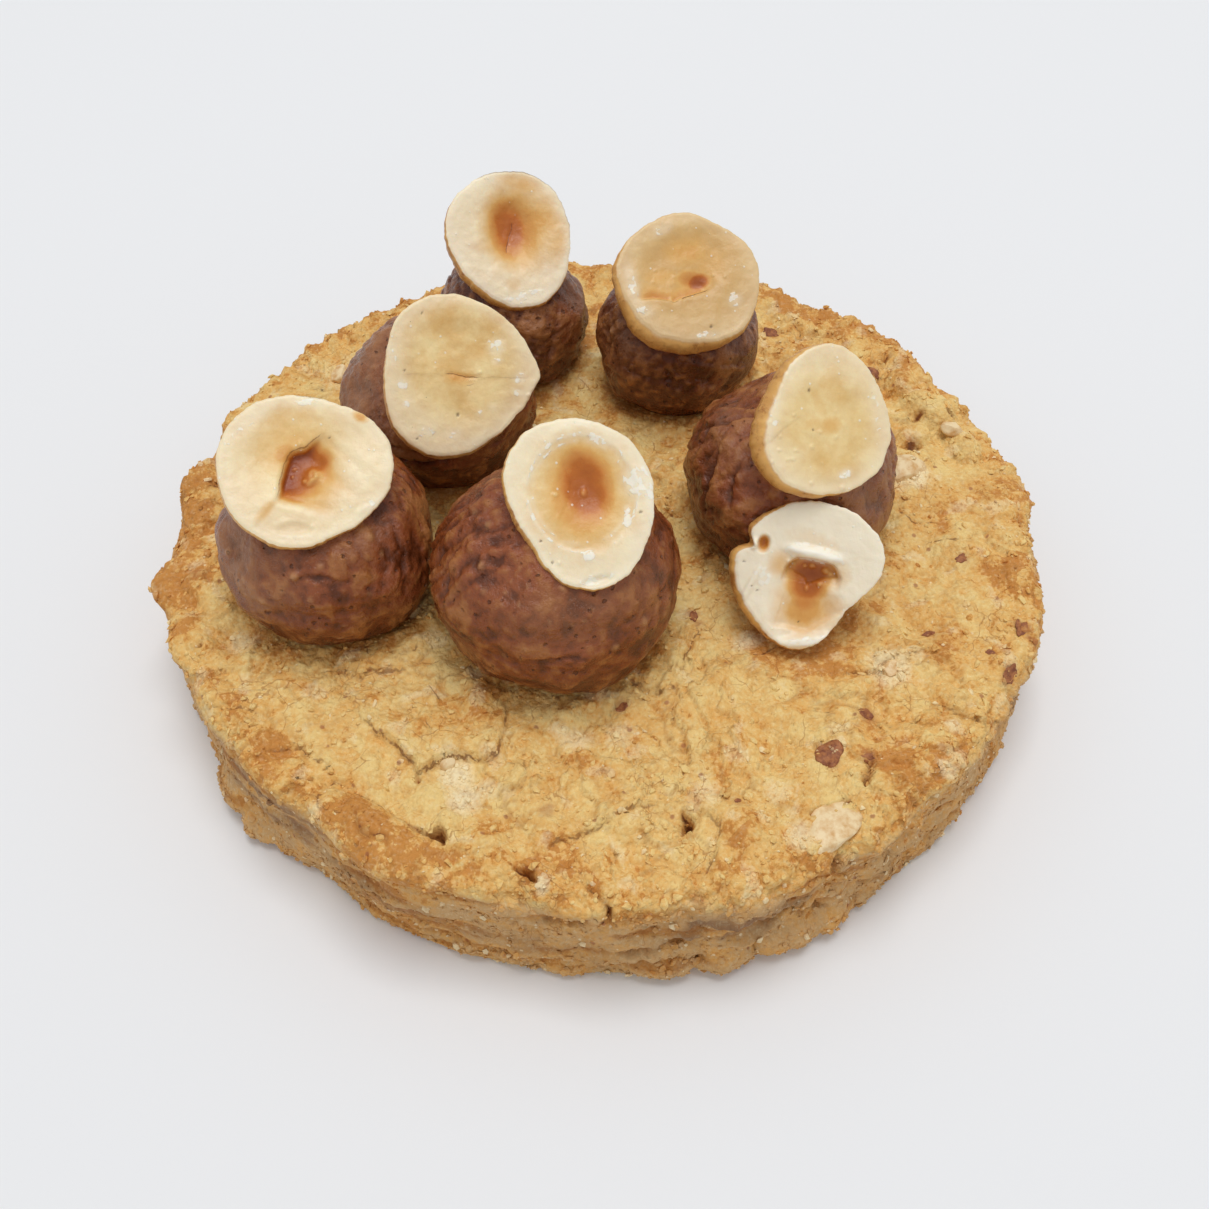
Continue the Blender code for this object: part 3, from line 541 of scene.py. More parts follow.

    # What the oven and the ring did to the colour, and painted shade
    brown = 0.24 + 0.36 * lumps(raised, 6.5, 83.0) + 0.32 * lumps(raised, 2.6, 89.0) + 0.06 * out * on_top
    # Painted shade: the crust is browner towards the back right, and round the balls for their fat and shade
    brown += 0.18 * ease((base[:, 0] + base[:, 1] + 10) / 40) + 0.52 * fat_and_shade
    brown += sum(0.8 * amount * spot(*bent.T, x, y, radius, radius) for x, y, radius, amount in BROWNED)
    edge = ease((from_middle - 39.5) / 4.5)
    brown += edge * (0.24 + 0.16 * ease((base[:, 1] + 20) / 30)) * on_top - 0.75 * dragged * on_wall
    # Painted shade in the low troughs of the drag streaks on the wall
    recess_shade = np.maximum(recess_shade, 0.6 * ease((-dragged - 0.14) / 0.20) * on_wall)
    pale = strongest(*bent.T, [(x, y, radius, radius, 0, amount) for x, y, radius, amount in PALE_CRUMB], 2)
    pale = np.maximum(pale, 0.34 * ease((lumps(raised, 2.2, 97.0) - 0.32) / 0.16) * on_top)
    aside, above = 2.0 * wobble[:, 0], height + 1.5 * wobble[:, 1]
    smeared = [
        amount * spot(turn_from(angle, way) + aside, above, 0, *shape, 0, 2) for way, *shape, amount in SMEARS
    ]
    smear = on_wall * ease(0.65 + 1.4 * lumps(around / (4.0, 1.4, 1.0), 1.0, 43.0)) * np.max(smeared, 0)
    skinned = flat + wobble * (0.5, 1.0)
    skin = strongest(*skinned.T, [(x, y, radius, radius, 0, amount) for x, y, radius, amount in SKIN_BITS], 2)
    # Thin dark lines along the cracks and under the lifted crust edges: painted shade, drawn finer than the
    # mesh
    lines = [(min(0.7, 0.30 + 0.35 * rise), route) for rise, _, route in CRUST_LIPS]
    lines += [(min(1.0, 0.40 + 0.45 * depth), route) for _, depth, route in CRACKS]
    line_side, line_dark = near_lines(bent, lines)
    mesh = grid_with_skirt("biscuit", TOP_STEPS, places + RING_MIDDLE)
    layers = {
        "browning": brown, "pale_crumb": pale * on_top, "crevice_shade": recess_shade, "smear": smear,
        "wall": on_wall, "skin": 0.7 * skin * on_top, "height_for_shade": height_for_shade, "line_side": line_side,
        "line_dark": line_dark * on_top,
    }
    paint(mesh, **layers)
    return mesh, layers, near


# Baked shortbread: butter-gold crumb, orange to brown where the crust stood up, dull, with a grain of flour
# and sugar. The low places between the grains are painted darker than the tops, as shade, and the tops are
# dusted with fine crumb. Cracks, holes and seams are painted darker too, as shade.
BUTTER_GOLD = linear("#F0CF86")
TOASTED = linear("#E2A550")
DARK_TOAST = linear("#B0662A")
PALE_CRUMB_COLOUR = linear("#FBE9BC")
WALL_CRUMB = linear("#CEA46D")
WALL_SMEAR = linear("#8E6644")
# Painted shade: the colour in crevices, and the deepest shade in holes and along cracks
CREVICE_SHADE = linear("#A0601F")
CRACK_SHADE = linear("#73401C")
SKIN_FLECK = linear("#A2603E")
SUGAR = linear("#F2DDB4")
# Sizes of the patterns, and how high the small plates of crust stand
CRUMB_GRAIN = 0.42
MOTTLE = 1.9
PLATE_SIZE = 2.1
PLATE_STEP = 0.19
SUGAR_SPACING = 0.95
FLECK_SPACING = 3.4
SAND_GRIT = 0.5
OPEN_PATCH = 5.0
GRAIN_RELIEF = 0.22
# Size and reach of the waves that bend the plates and the fine cracks
WARP_SIZE = 2.0
WARP_REACH = 1.8
# Fine cracks: how far apart, how wide, how dark, and how much of the crust has none
HAIRLINES = ((3.0, 0.06, 0.55, 0.53), (1.5, 0.045, 0.16, 0.57))
CRACK_HALF_WIDTH = 0.12

shortbread, tree, shader, coordinates, layer = new_material("baked shortbread", (
    "browning", "pale_crumb", "crevice_shade", "smear", "wall", "skin", "height_for_shade", "line_side", "line_dark",
))
mottle, grain = (
    add_node(tree, "TexNoise", {
        "Vector": coordinates, "Scale": 1 / (size * MM), "Detail": fine, "Roughness": rough,
    }) for size, fine, rough in ((MOTTLE, 5.0, 0.66), (CRUMB_GRAIN, 3.0, 0.65))
)
drift = add_node(tree, "TexNoise", {
    "Vector": coordinates, "Scale": 1 / (WARP_SIZE * MM), "Detail": 2.5,
}, "Color")
drift = add_node(tree, "VectorMath", (drift, (WARP_REACH * MM,) * 3, coordinates), operation="MULTIPLY_ADD")
plate = add_node(tree, "TexVoronoi", {"Vector": drift, "Scale": 1 / (PLATE_SIZE * MM)}, "Color")
grained = add_node(tree, "MapRange", (grain, 0.3, 0.7, -0.21, 0.21))
# The second tone is painted shade: darker in the low places of the crumb, paler on its tops
tones = [
    add_node(tree, "MapRange", (mottle, 0.36, 0.64, -0.30, 0.30)),
    add_node(tree, "MapRange", (layer["height_for_shade"], 0.1, 0.9, 0.26, -0.20)),
    add_node(tree, "MapRange", (plate, 0.2, 0.8, 0.21, -0.21)), grained,
]
toast = layer["browning"]
for tone in tones:
    toast = add_node(tree, "Math", (toast, tone), operation="ADD")
toast.node.use_clamp = True
deep = add_node(tree, "MapRange", (toast, 0.78, 1.25))
crumb_light = add_node(tree, "Math", (layer["pale_crumb"], grained), operation="SUBTRACT")
fleck = add_node(tree, "TexVoronoi", {"Vector": coordinates, "Scale": 1 / (FLECK_SPACING * MM)})
fleck = add_node(tree, "MapRange", (fleck, 0.09, 0.05, 0.0, 0.7))
crystal = add_node(tree, "TexVoronoi", {"Vector": coordinates, "Scale": 1 / (SUGAR_SPACING * MM)})
sparkle = add_node(tree, "MapRange", (crystal, 0.20, 0.10, 0.0, 0.7))
chosen = add_node(tree, "MapRange", (crystal.node.outputs["Color"], 0.52, 0.60))
for limit in (chosen, layer["wall"]):
    sparkle = add_node(tree, "Math", (sparkle, limit), operation="MULTIPLY")
opened = add_node(tree, "TexNoise", {"Vector": coordinates, "Scale": 1 / (OPEN_PATCH * MM), "Detail": 2.0})
hairlines = []
for spacing, width, most, empty in HAIRLINES:
    away = {"Vector": drift, "Scale": 1 / (spacing * MM)}
    away = add_node(tree, "TexVoronoi", away, feature="DISTANCE_TO_EDGE")
    hairline = add_node(tree, "MapRange", (away, width / spacing, 0.3 * width / spacing, 0.0, most))
    where = add_node(tree, "MapRange", (opened, empty, empty + 0.08))
    hairlines.append((add_node(tree, "Math", (hairline, where), operation="MULTIPLY"), CREVICE_SHADE))
# Painted shade, deepest in the deepest crevices and holes
deepest_shade = add_node(tree, "MapRange", (layer["crevice_shade"], 0.72, 1.0))
unbroken = add_node(tree, "MapRange", (mottle, 0.44, 0.52, 0.10, 1.0))
# The painted shade lines, broken up in places
torn = thin_line(tree, coordinates, layer, CRACK_HALF_WIDTH)
torn = add_node(tree, "Math", (torn, unbroken), operation="MULTIPLY")
colour = BUTTER_GOLD
for share, tint in (
    (layer["wall"], WALL_CRUMB), (toast, TOASTED), (deep, DARK_TOAST), (layer["smear"], WALL_SMEAR),
    (crumb_light, PALE_CRUMB_COLOUR), (fleck, SKIN_FLECK), (sparkle, SUGAR), *hairlines,
    (layer["crevice_shade"], CREVICE_SHADE), (deepest_shade, CRACK_SHADE), (torn, CRACK_SHADE), (layer["skin"], SKIN_FLECK),
):
    colour = add_node(tree, "Mix", {0: share, 6: colour, 7: tint}, 2, data_type="RGBA")
sand = add_node(tree, "TexVoronoi", {"Vector": coordinates, "Scale": 1 / (SAND_GRIT * MM)})
relief = add_node(tree, "Math", (grain, sand), operation="SUBTRACT")
bump = add_node(tree, "Bump", {"Height": plate, "Strength": 0.8, "Distance": PLATE_STEP * MM})
bump = add_node(tree, "Bump", {
    "Height": relief, "Strength": 0.7, "Distance": GRAIN_RELIEF * MM, "Normal": bump,
})
connect(shader, {
    "Base Color": colour, "Roughness": 0.68, "IOR": 1.45, "Specular IOR Level": 0.40, "Normal": bump,
})

biscuit_mesh, biscuit_layers, biscuit_clear = make_biscuit()
add_piece("shortbread", biscuit_mesh, shortbread, ("biscuit",))

# Crumbs of the same dough cling all over the biscuit: on the crust, thickest where it broke, and on the wall,
# where they came away from the ring. Each is a small uneven grain, half sunk in the surface.
CRUMBS_ON_TOP = 4600
CRUMBS_ON_WALL = 4900
CRUMB_RADIUS = (0.13, 0.46)
CRUMB_FLATNESS = 0.38
CRUMB_STAND = 0.12
CRUMB_CORNER = (0.62, 1.30)
CRUMB_SIDES = ((1.0, 0.7, 0.6), (1.35, 1.0, 0.9))


def crumb_form():
    """The corners of a solid with twenty three-cornered sides, and those sides, facing out."""
    form = bmesh.new()
    bmesh.ops.create_icosphere(form, subdivisions=1, radius=1.0)
    corners = np.array([tuple(corner.co) for corner in form.verts])
    sides = np.array([[corner.index for corner in side.verts] for side in form.faces])
    form.free()
    return corners, sides


def scatter(name, spots, normals, radii, layers, draw):
    """One mesh of uneven grains at spots, turned at random, with the layers that they take from there."""
    corners, sides = crumb_form()
    count = len(spots)
    turns = draw.normal(size=(count, 4))
    turns /= np.linalg.norm(turns, axis=1)[:, None]
    w, i, j, k = turns.T
    spin = np.array([
        [1 - 2 * (j * j + k * k), 2 * (i * j - k * w), 2 * (i * k + j * w)],
        [2 * (i * j + k * w), 1 - 2 * (i * i + k * k), 2 * (j * k - i * w)],
        [2 * (i * k - j * w), 2 * (j * k + i * w), 1 - 2 * (i * i + j * j)],
    ]).transpose(2, 0, 1)
    shapes = corners[None] * draw.uniform(*CRUMB_CORNER, (count, len(corners), 1))
    shapes = shapes * draw.uniform(*CRUMB_SIDES, (count, 3))[:, None]
    shapes = np.einsum("nij,nkj->nki", spin, shapes) * radii[:, None, None]
    outward = np.einsum("nki,ni->nk", shapes, normals)
    shapes -= CRUMB_FLATNESS * outward[..., None] * normals[:, None]
    places = spots[:, None] + shapes + (normals * (CRUMB_STAND * radii)[:, None])[:, None]
    places[..., 2] = np.maximum(places[..., 2], 0.02)
    faces = (sides[None] + (np.arange(count) * len(corners))[:, None, None]).reshape(-1, 3)
    mesh = new_mesh(name, places.reshape(-1, 3), faces.tolist(), smooth=False)
    paint(mesh, **{label: np.repeat(values, len(corners)) for label, values in layers.items()})
    return mesh


def vectors(items, what):
    """What a mesh stores for each of its items, as rows."""
    values = np.zeros(len(items) * 3)
    items.foreach_get(what, values)
    return values.reshape(-1, 3)


def crumb_spots(draw):
    """Where the crumbs lie: the indices of biscuit places, more of them where the crust is open."""
    places = vectors(biscuit_mesh.vertices, "co") / MM
    normals = vectors(biscuit_mesh.vertex_normals, "vector")
    wall, high = biscuit_layers["wall"], places[:, 2]
    patch = ease((lumps(places, 5.0, 7.0) + 0.35) / 0.6)
    edge = ease((np.hypot(places[:, 0], places[:, 1]) - 40.0) / 3.0)
    on_top = 0.25 + 0.9 * patch + 5.0 * np.clip(biscuit_layers["pale_crumb"], 0, 1) + 0.9 * edge
    on_top = on_top * (wall < 0.5) * (biscuit_clear > 0.9)
    on_wall = (wall >= 0.5) * (high > 0.4) * (0.30 + 0.6 * patch + 0.9 * ease((4.5 - high) / 2.5))
    on_wall = on_wall * (1 - 0.85 * np.clip(biscuit_layers["smear"], 0, 1))
    chosen = np.concatenate([
        draw.choice(len(places), count, replace=False, p=weight / weight.sum())
        for count, weight in ((CRUMBS_ON_TOP, on_top), (CRUMBS_ON_WALL, on_wall))
    ])
    return places[chosen], normals[chosen], chosen


draw = np.random.default_rng(41)
spots, normals, chosen = crumb_spots(draw)
radii = CRUMB_RADIUS[0] + (CRUMB_RADIUS[1] - CRUMB_RADIUS[0]) * draw.power(0.45, len(spots)) ** 1.6
layers = {label: np.clip(values[chosen], 0, 1) for label, values in biscuit_layers.items()}
layers["browning"] = layers["browning"] + draw.normal(0.0, 0.22, len(spots))
layers["height_for_shade"] = draw.uniform(0.45, 1.0, len(spots))
# The crumbs take less of the painted shade
layers["crevice_shade"] *= 0.4
layers["line_dark"] = np.zeros(len(spots))
layers["pale_crumb"] = np.maximum(layers["pale_crumb"], 0.6 * (draw.random(len(spots)) > 0.92))
add_piece("clinging_crumbs", scatter("crumbs", spots, normals, radii, layers, draw), shortbread)

# Chopped hazelnut was folded into the dough. A few bits show in the crust: cream, with flat broken sides.
CHUNK_STEPS = 16
CHUNK_SIDES = 9
# How near the middle the flat sides cut, and how sharp the edges between them stay
CUT_AT = (0.62, 0.95)
EDGE_WEAR = 60
# Middle, half sizes and turn of each bit
NUT_CHUNKS = (
    ((19.3, -37.4, 12.75), (3.1, 2.6, 1.0), 30), ((32.2, 6.3, 13.5), (2.4, 1.8, 1.2), 20),
    ((-12.3, -40.2, 12.2), (1.35, 0.75, 0.7), 10), ((-14.2, -30.9, 13.3), (0.7, 0.5, 0.5), 30),
    ((10.4, -41.6, 12.7), (1.6, 0.7, 0.6), 12), ((-5.1, -42.6, 12.0), (0.7, 0.6, 0.6), 0),
    ((32.0, -26.8, 12.9), (0.9, 0.7, 0.6), 40), ((27.3, -20.2, 13.3), (1.1, 0.8, 0.5), 25),
    ((38.4, 12.5, 13.9), (1.1, 0.8, 0.8), -30), ((-30.6, 22.4, 13.3), (1.4, 1.1, 0.8), 30),
    ((4.2, 38.6, 13.1), (1.6, 1.2, 0.9), 5), ((-44.6, 4.0, 7.4), (0.8, 1.6, 1.2), 0),
    ((12.0, 42.8, 8.0), (1.7, 0.9, 1.2), -15), ((43.6, -12.0, 7.0), (0.8, 1.5, 1.1), -15),
)


def cube_ball(steps):
    """The corners and faces of a ball of radius 1 made from the six sides of a cube."""
    bent = np.tan(np.linspace(-1, 1, steps + 1) * math.pi / 4)
    corners, faces = {}, []
    for axis in range(3):
        for sign in (-1.0, 1.0):
            index = {}
            for row, v in enumerate(bent):
                for column, u in enumerate(bent):
                    place = [0.0, 0.0, 0.0]
                    place[axis], place[(axis + 1) % 3], place[(axis + 2) % 3] = sign, u, v
                    key = tuple(round(value, 6) for value in place)
                    index[row, column] = corners.setdefault(key, len(corners))
            for row in range(steps):
                for column in range(steps):
                    cell = ((row, column), (row, column + 1), (row + 1, column + 1), (row + 1, column))
                    loop = [index[corner] for corner in cell]
                    faces.append(loop if sign > 0 else loop[::-1])
    places = np.array(list(corners))
    return places / np.linalg.norm(places, axis=1)[:, None], faces


def nut_chunk(middle, half_sizes, turn, draw):
    """A broken bit of nut: a ball cut by flat sides at random, with the edges a little worn."""
    unit, faces = cube_ball(CHUNK_STEPS)
    sides = draw.normal(size=(CHUNK_SIDES, 3))
    sides /= np.linalg.norm(sides, axis=1)[:, None]
    toward = np.maximum(unit @ sides.T, 0.05)
    reach = ((toward / draw.uniform(*CUT_AT, CHUNK_SIDES)) ** EDGE_WEAR).sum(1) ** (-1 / EDGE_WEAR)
    places = unit * np.minimum(reach, 1.15)[:, None] * half_sizes
    places += unit * (0.07 * lumps(places + middle, 0.9) + 0.03 * lumps(places + middle, 0.35))[:, None]
    return places @ about_z(turn).T + middle + RING_MIDDLE, faces


def joined_mesh(name, parts):
    """One mesh of several closed forms, each given as its places and faces."""
    faces, count = [], 0
    for places, part_faces in parts:
        faces += [[corner + count for corner in face] for face in part_faces]
        count += len(places)
    return new_mesh(name, np.concatenate([places for places, _ in parts]), faces)


# Raw-looking kernel that baked inside the dough: cream and waxy, drier and tan in patches
KERNEL_CREAM = linear("#F1D8A9")
KERNEL_TAN = linear("#D3A364")
KERNEL_CLOUD = 1.1
KERNEL_GRAIN = 0.35
KERNEL_RELIEF = 0.12

chopped_nut, tree, shader, coordinates, _ = new_material("chopped hazelnut")
cloud = add_node(tree, "TexNoise", {
    "Vector": coordinates, "Scale": 1 / (KERNEL_CLOUD * MM), "Detail": 4.0, "Roughness": 0.6,
})
cloud = add_node(tree, "MapRange", (cloud, 0.42, 0.68))
colour = add_node(tree, "Mix", {0: cloud, 6: KERNEL_CREAM, 7: KERNEL_TAN}, 2, data_type="RGBA")
broken_face = add_node(tree, "TexNoise", {
    "Vector": coordinates, "Scale": 1 / (KERNEL_GRAIN * MM), "Detail": 3.0,
})
bump = add_node(tree, "Bump", {"Height": broken_face, "Strength": 0.5, "Distance": KERNEL_RELIEF * MM})
connect(shader, {"Base Color": colour, "Roughness": 0.5, "IOR": 1.47, "Normal": bump})

draw = np.random.default_rng(7)
chunks = joined_mesh("nut_chunks", [nut_chunk(*chunk, draw) for chunk in NUT_CHUNKS])
add_piece("nut_chunks", chunks, chopped_nut)

# Skins that rubbed off the chopped nuts baked into the crust: thin, curled, red-brown papery flakes
FLAKE_STEPS = 14
FLAKE_THICKNESS = 0.08
FLAKE_TORN = 0.4
# Middle, half sizes, turn, and how steeply the flake stands
SKIN_FLAKES = (
    ((20.2, -29.9), (1.4, 1.05), 55, 3), ((24.2, -25.2), (0.9, 0.5), -20, 3),
    ((1.5, -24.5), (0.65, 0.4), 15, 3), ((8.7, -13.6), (0.75, 0.4), 80, 9),
    ((31.6, -15.7), (0.6, 0.3), 10, 5), ((40.6, -15.3), (1.0, 0.6), 70, 14),
    ((38.5, -20.6), (1.1, 0.55), 50, 12), ((23.6, -30.6), (0.6, 0.35), -10, 8),
    ((37.0, -18.4), (0.45, 0.3), 0, 6), ((11.6, -35.0), (0.35, 0.2), 30, 5),
    ((-24.0, 34.0), (0.9, 0.5), 40, 10), ((20.0, 30.6), (1.0, 0.55), -15, 16),
    ((2.0, 34.2), (0.7, 0.4), 60, 12), ((-38.2, 12.0), (0.8, 0.5), 80, 14),
    ((-8.0, 38.4), (0.7, 0.4), 10, 12), ((31.0, 22.4), (0.8, 0.5), -40, 16),
    ((36.2, -6.6), (0.7, 0.4), 20, 12),
)

crust_top = vectors(biscuit_mesh.vertices, "co")[: (TOP_STEPS + 1) ** 2] / MM - RING_MIDDLE
crust = KDTree(len(crust_top))
for index, (x, y, _) in enumerate(crust_top):
    crust.insert((x, y, 0.0), index)
crust.balance()


def crust_height(x, y):
    """The height of the crust at a place, from the nearest points of its mesh."""
    near = crust.find_n((x, y, 0.0), 6)
    shares = np.array([1 / (away**2 + 0.02) for _, _, away in near])
    return np.array([crust_top[index, 2] for _, index, _ in near]) @ shares / shares.sum()


def skin_flake(middle, half_sizes, turn, stands, draw):
    """A thin crinkled flake with a torn outline, which follows the crust and lifts along one side."""
    x, y = disc_grid(FLAKE_STEPS)
    torn = 1 + FLAKE_TORN * lumps(np.stack([x, y, np.full(len(x), draw.uniform(0, 50))], 1), 0.6)
    x, y = x * half_sizes[0] * torn, y * half_sizes[1] * torn
    flat = np.stack([x, y], 1) @ about_z(turn)[:2, :2].T + middle
    height = np.array([crust_height(*place) for place in flat])
    height += 0.05 + math.tan(math.radians(stands)) * np.maximum(y + 0.4 * half_sizes[1], 0)
    height += 0.05 * lumps(np.column_stack([flat, height]), 0.5)
    top = np.column_stack([flat, height])
    rim, quads, count = grid_rim(FLAKE_STEPS), grid_quads(FLAKE_STEPS), len(top)
    faces = quads.tolist() + (quads[:, ::-1] + count).tolist()
    faces += [(b, a, a + count, b + count) for a, b in zip(rim, rim[1:] + rim[:1])]
    return np.concatenate([top, top - (0, 0, FLAKE_THICKNESS)]) + RING_MIDDLE, faces


# Hazelnut skin: red-brown, papery, darker in its veins
SKIN_RED = linear("#AE6E3E")
SKIN_DARK = linear("#7C4228")
VEIN_SIZE = 0.6
VEIN_RELIEF = 0.08

papery_skin, tree, shader, coordinates, _ = new_material("papery hazelnut skin")
veins = add_node(tree, "TexNoise", {
    "Vector": coordinates, "Scale": 1 / (VEIN_SIZE * MM), "Detail": 4.0, "Roughness": 0.7,
})
veins = add_node(tree, "MapRange", (veins, 0.40, 0.62))
colour = add_node(tree, "Mix", {0: veins, 6: SKIN_RED, 7: SKIN_DARK}, 2, data_type="RGBA")
bump = add_node(tree, "Bump", {"Height": veins, "Strength": 0.5, "Distance": VEIN_RELIEF * MM})
connect(shader, {"Base Color": colour, "Roughness": 0.6, "Normal": bump})

draw = np.random.default_rng(19)
flakes = joined_mesh("skin_flakes", [skin_flake(*flake, draw) for flake in SKIN_FLAKES])
add_piece("skin_flakes", flakes, papery_skin)

# The praline balls are gianduja, nut paste and chocolate, rolled in the hand while it was soft and set on
# the biscuit. The palm left faint folds, and bits of nut stand out under the skin.
BALL_STAND = 0.62
BALL_SQUAT = 0.92
BALL_LUMPS = ((9.0, 0.5), (4.2, 0.6))
RIDGE_PITCH = 3.4
RIDGE_DEPTH = 0.08
BALL_GAP = 0.3
BALL_SUNK = 0.45
BALL_STEPS = 66
# Middle, half width, half depth, how much the faint folds show, the way they run in degrees, the seed, and
# how much painted shade darkens the paste
PRALINE = {
    "back_left": ((-10.7, 26.0), 8.5, 8.2, 0.7, 20, 1.0, 1.0),
    "back_right": ((8.1, 21.8), 8.9, 8.9, 0.8, -15, 2.0, 1.0),
    "mid_left": ((-17.7, 10.4), 10.2, 8.9, 0.5, 35, 3.0, 0.2),
    "left": ((-26.8, -9.7), 10.1, 10.1, 0.35, -20, 4.0, 0.1),
    "front": ((-4.8, -14.3), 11.4, 11.4, 0.25, 10, 5.0, 0.0),
    "right": ((18.5, -0.8), 10.4, 10.4, 0.55, 60, 6.0, 0.2),
}
# Where the palm wrinkled the skin: direction and elevation of the middle, half sizes and run of the wrinkles
# in degrees, their pitch and their depth
WRINKLES = {
    "back_left": ((-58, 10, 50, 30, 70, 2.2, 0.3), (120, 20, 60, 40, 20, 2.4, 0.24)),
    "back_right": ((-100, 4, 60, 20, 60, 2.4, 0.22), (-150, 30, 24, 34, 70, 1.8, 0.3),
        (90, 20, 70, 40, 10, 2.6, 0.24)),
    "mid_left": ((-95, 2, 60, 16, 4, 1.8, 0.26), (-20, 10, 40, 30, 30, 2.2, 0.24),
        (110, 20, 60, 40, 50, 2.4, 0.24)),
    "left": ((-30, 24, 30, 34, 74, 1.8, 0.28), (150, 20, 50, 40, 60, 2.4, 0.2),
        (60, 30, 50, 40, 20, 2.4, 0.2)),
    "front": ((-168, 34, 30, 34, 80, 1.5, 0.34), (-110, 4, 40, 8, 3, 1.4, 0.18),
        (60, 20, 70, 40, 20, 2.6, 0.22), (-28, 6, 20, 24, 60, 1.8, 0.16)),
    "right": ((-166, 34, 44, 44, 64, 1.7, 0.3), (-115, 8, 30, 20, 50, 1.8, 0.24),
        (-20, 10, 40, 36, 70, 2.4, 0.2), (90, 20, 60, 40, 30, 2.4, 0.26)),
}
# Creases that closed up while the paste was rolled: half width and depth, then directions and elevations
CREASES = {
    "back_left": ((0.34, 0.14, ((-75, 22), (-55, 16), (-35, 20))),),
    "back_right": ((0.3, 0.1, ((-130, 12), (-110, 8), (-86, 10))),),
    "mid_left": ((0.34, 0.45, ((-128, 6), (-113, 1), (-96, -2), (-82, 0))),),
    "left": ((0.42, 0.3, ((-99, 27), (-90, 31), (-80, 31), (-67, 25))), (0.26, 0.22, ((-24, 42), (-30, 24),
        (-44, 6)))),
    "front": ((0.26, 0.14, ((-100, 8), (-92, 8), (-83, 10), (-74, 8))), (0.3, 0.3, ((-166, 52), (-160, 36),
        (-150, 18), (-140, 4))), (0.22, 0.22, ((175, 50), (-178, 36), (-168, 20)))),
    "right": ((0.4, 0.32, ((-172, 50), (-158, 34), (-150, 16), (-148, -2))), (0.34, 0.28, ((-140, 46),
        (-136, 30), (-130, 14))), (0.3, 0.32, ((170, 44), (-176, 26), (-166, 8)))),
}
# Skin that broke open over coarse nut paste: direction, elevation, half sizes in degrees, height of the
# lumps
LUMPY = {
    "back_left": ((-30, 20, 20, 20, 0.2),), "back_right": ((-66, -2, 12, 10, 0.3), (-150, 0, 10, 12, 0.3)),
    "mid_left": ((-80, 0, 30, 12, 0.3),), "left": ((-36, 14, 20, 22, 0.25), (-84, 29, 18, 8, 0.25)),
    "front": ((-136, 48, 32, 17, 0.5), (-84, 8, 14, 6, 0.3)), "right": ((-130, 30, 22, 18, 0.5),
        (-150, 52, 14, 10, 0.5)),
}
# Where the skin has a greyer, paler bloom that is partly painted sheen: direction, elevation, half sizes in
# degrees, amount
BLOOM_AND_SHEEN_PLACES = {
    "back_left": ((-20, 14, 50, 30, 0.6),), "back_right": ((-150, 24, 24, 30, 0.6), (-30, 20, 30, 20, 0.3)),
    "mid_left": ((-158, 36, 60, 40, 0.9),), "left": ((-142, 22, 40, 26, 0.9), (-60, 44, 26, 10, 0.4)),
    "front": ((-78, 30, 34, 16, 0.45), (-30, 20, 20, 24, 0.4), (-150, 20, 20, 14, 0.2)),
    "right": ((-45, 12, 40, 26, 0.8), (-160, 44, 24, 16, 0.5), (-140, 10, 20, 14, 0.3)),
}
# The grain of a ball's skin: its sizes and shares, and its depth
SKIN_GRAINS = ((2.7, 0.55), (1.3, 0.50), (0.65, 0.38))
GRAIN_DEPTH = 0.28
# The steps of the folds, the bits of nut under the skin and the holes where it broke
FOLD_DEPTH = 0.28
BIT_HEIGHT = 0.15
HOLE_DEPTH = 0.14

BALL_PLACES, BALL_FACES = cube_ball(BALL_STEPS)
BALL_TURN = np.degrees(np.arctan2(BALL_PLACES[:, 1], BALL_PLACES[:, 0]))
BALL_HEIGHT = np.degrees(np.arcsin(np.clip(BALL_PLACES[:, 2], -1, 1)))


def over_skin(turn, height, width, direction, elevation):
    """Distances in mm to the right of and above a direction from the middle of a ball, over its skin."""
    across = np.radians(turn_from(turn, direction)) * np.cos(np.radians(height)) * width
    return across, np.radians(height - elevation) * width


def skin_patch(width, direction, elevation, wide, tall, sharpness=2.0):
    """A spot on a ball's skin, and how far right of and above its middle each place is."""
    across, up = over_skin(BALL_TURN, BALL_HEIGHT, width, direction, elevation)
    half_sizes = math.radians(wide) * width, math.radians(tall) * width
    return spot(across, up, 0, 0, *half_sizes, 0, sharpness), across, up


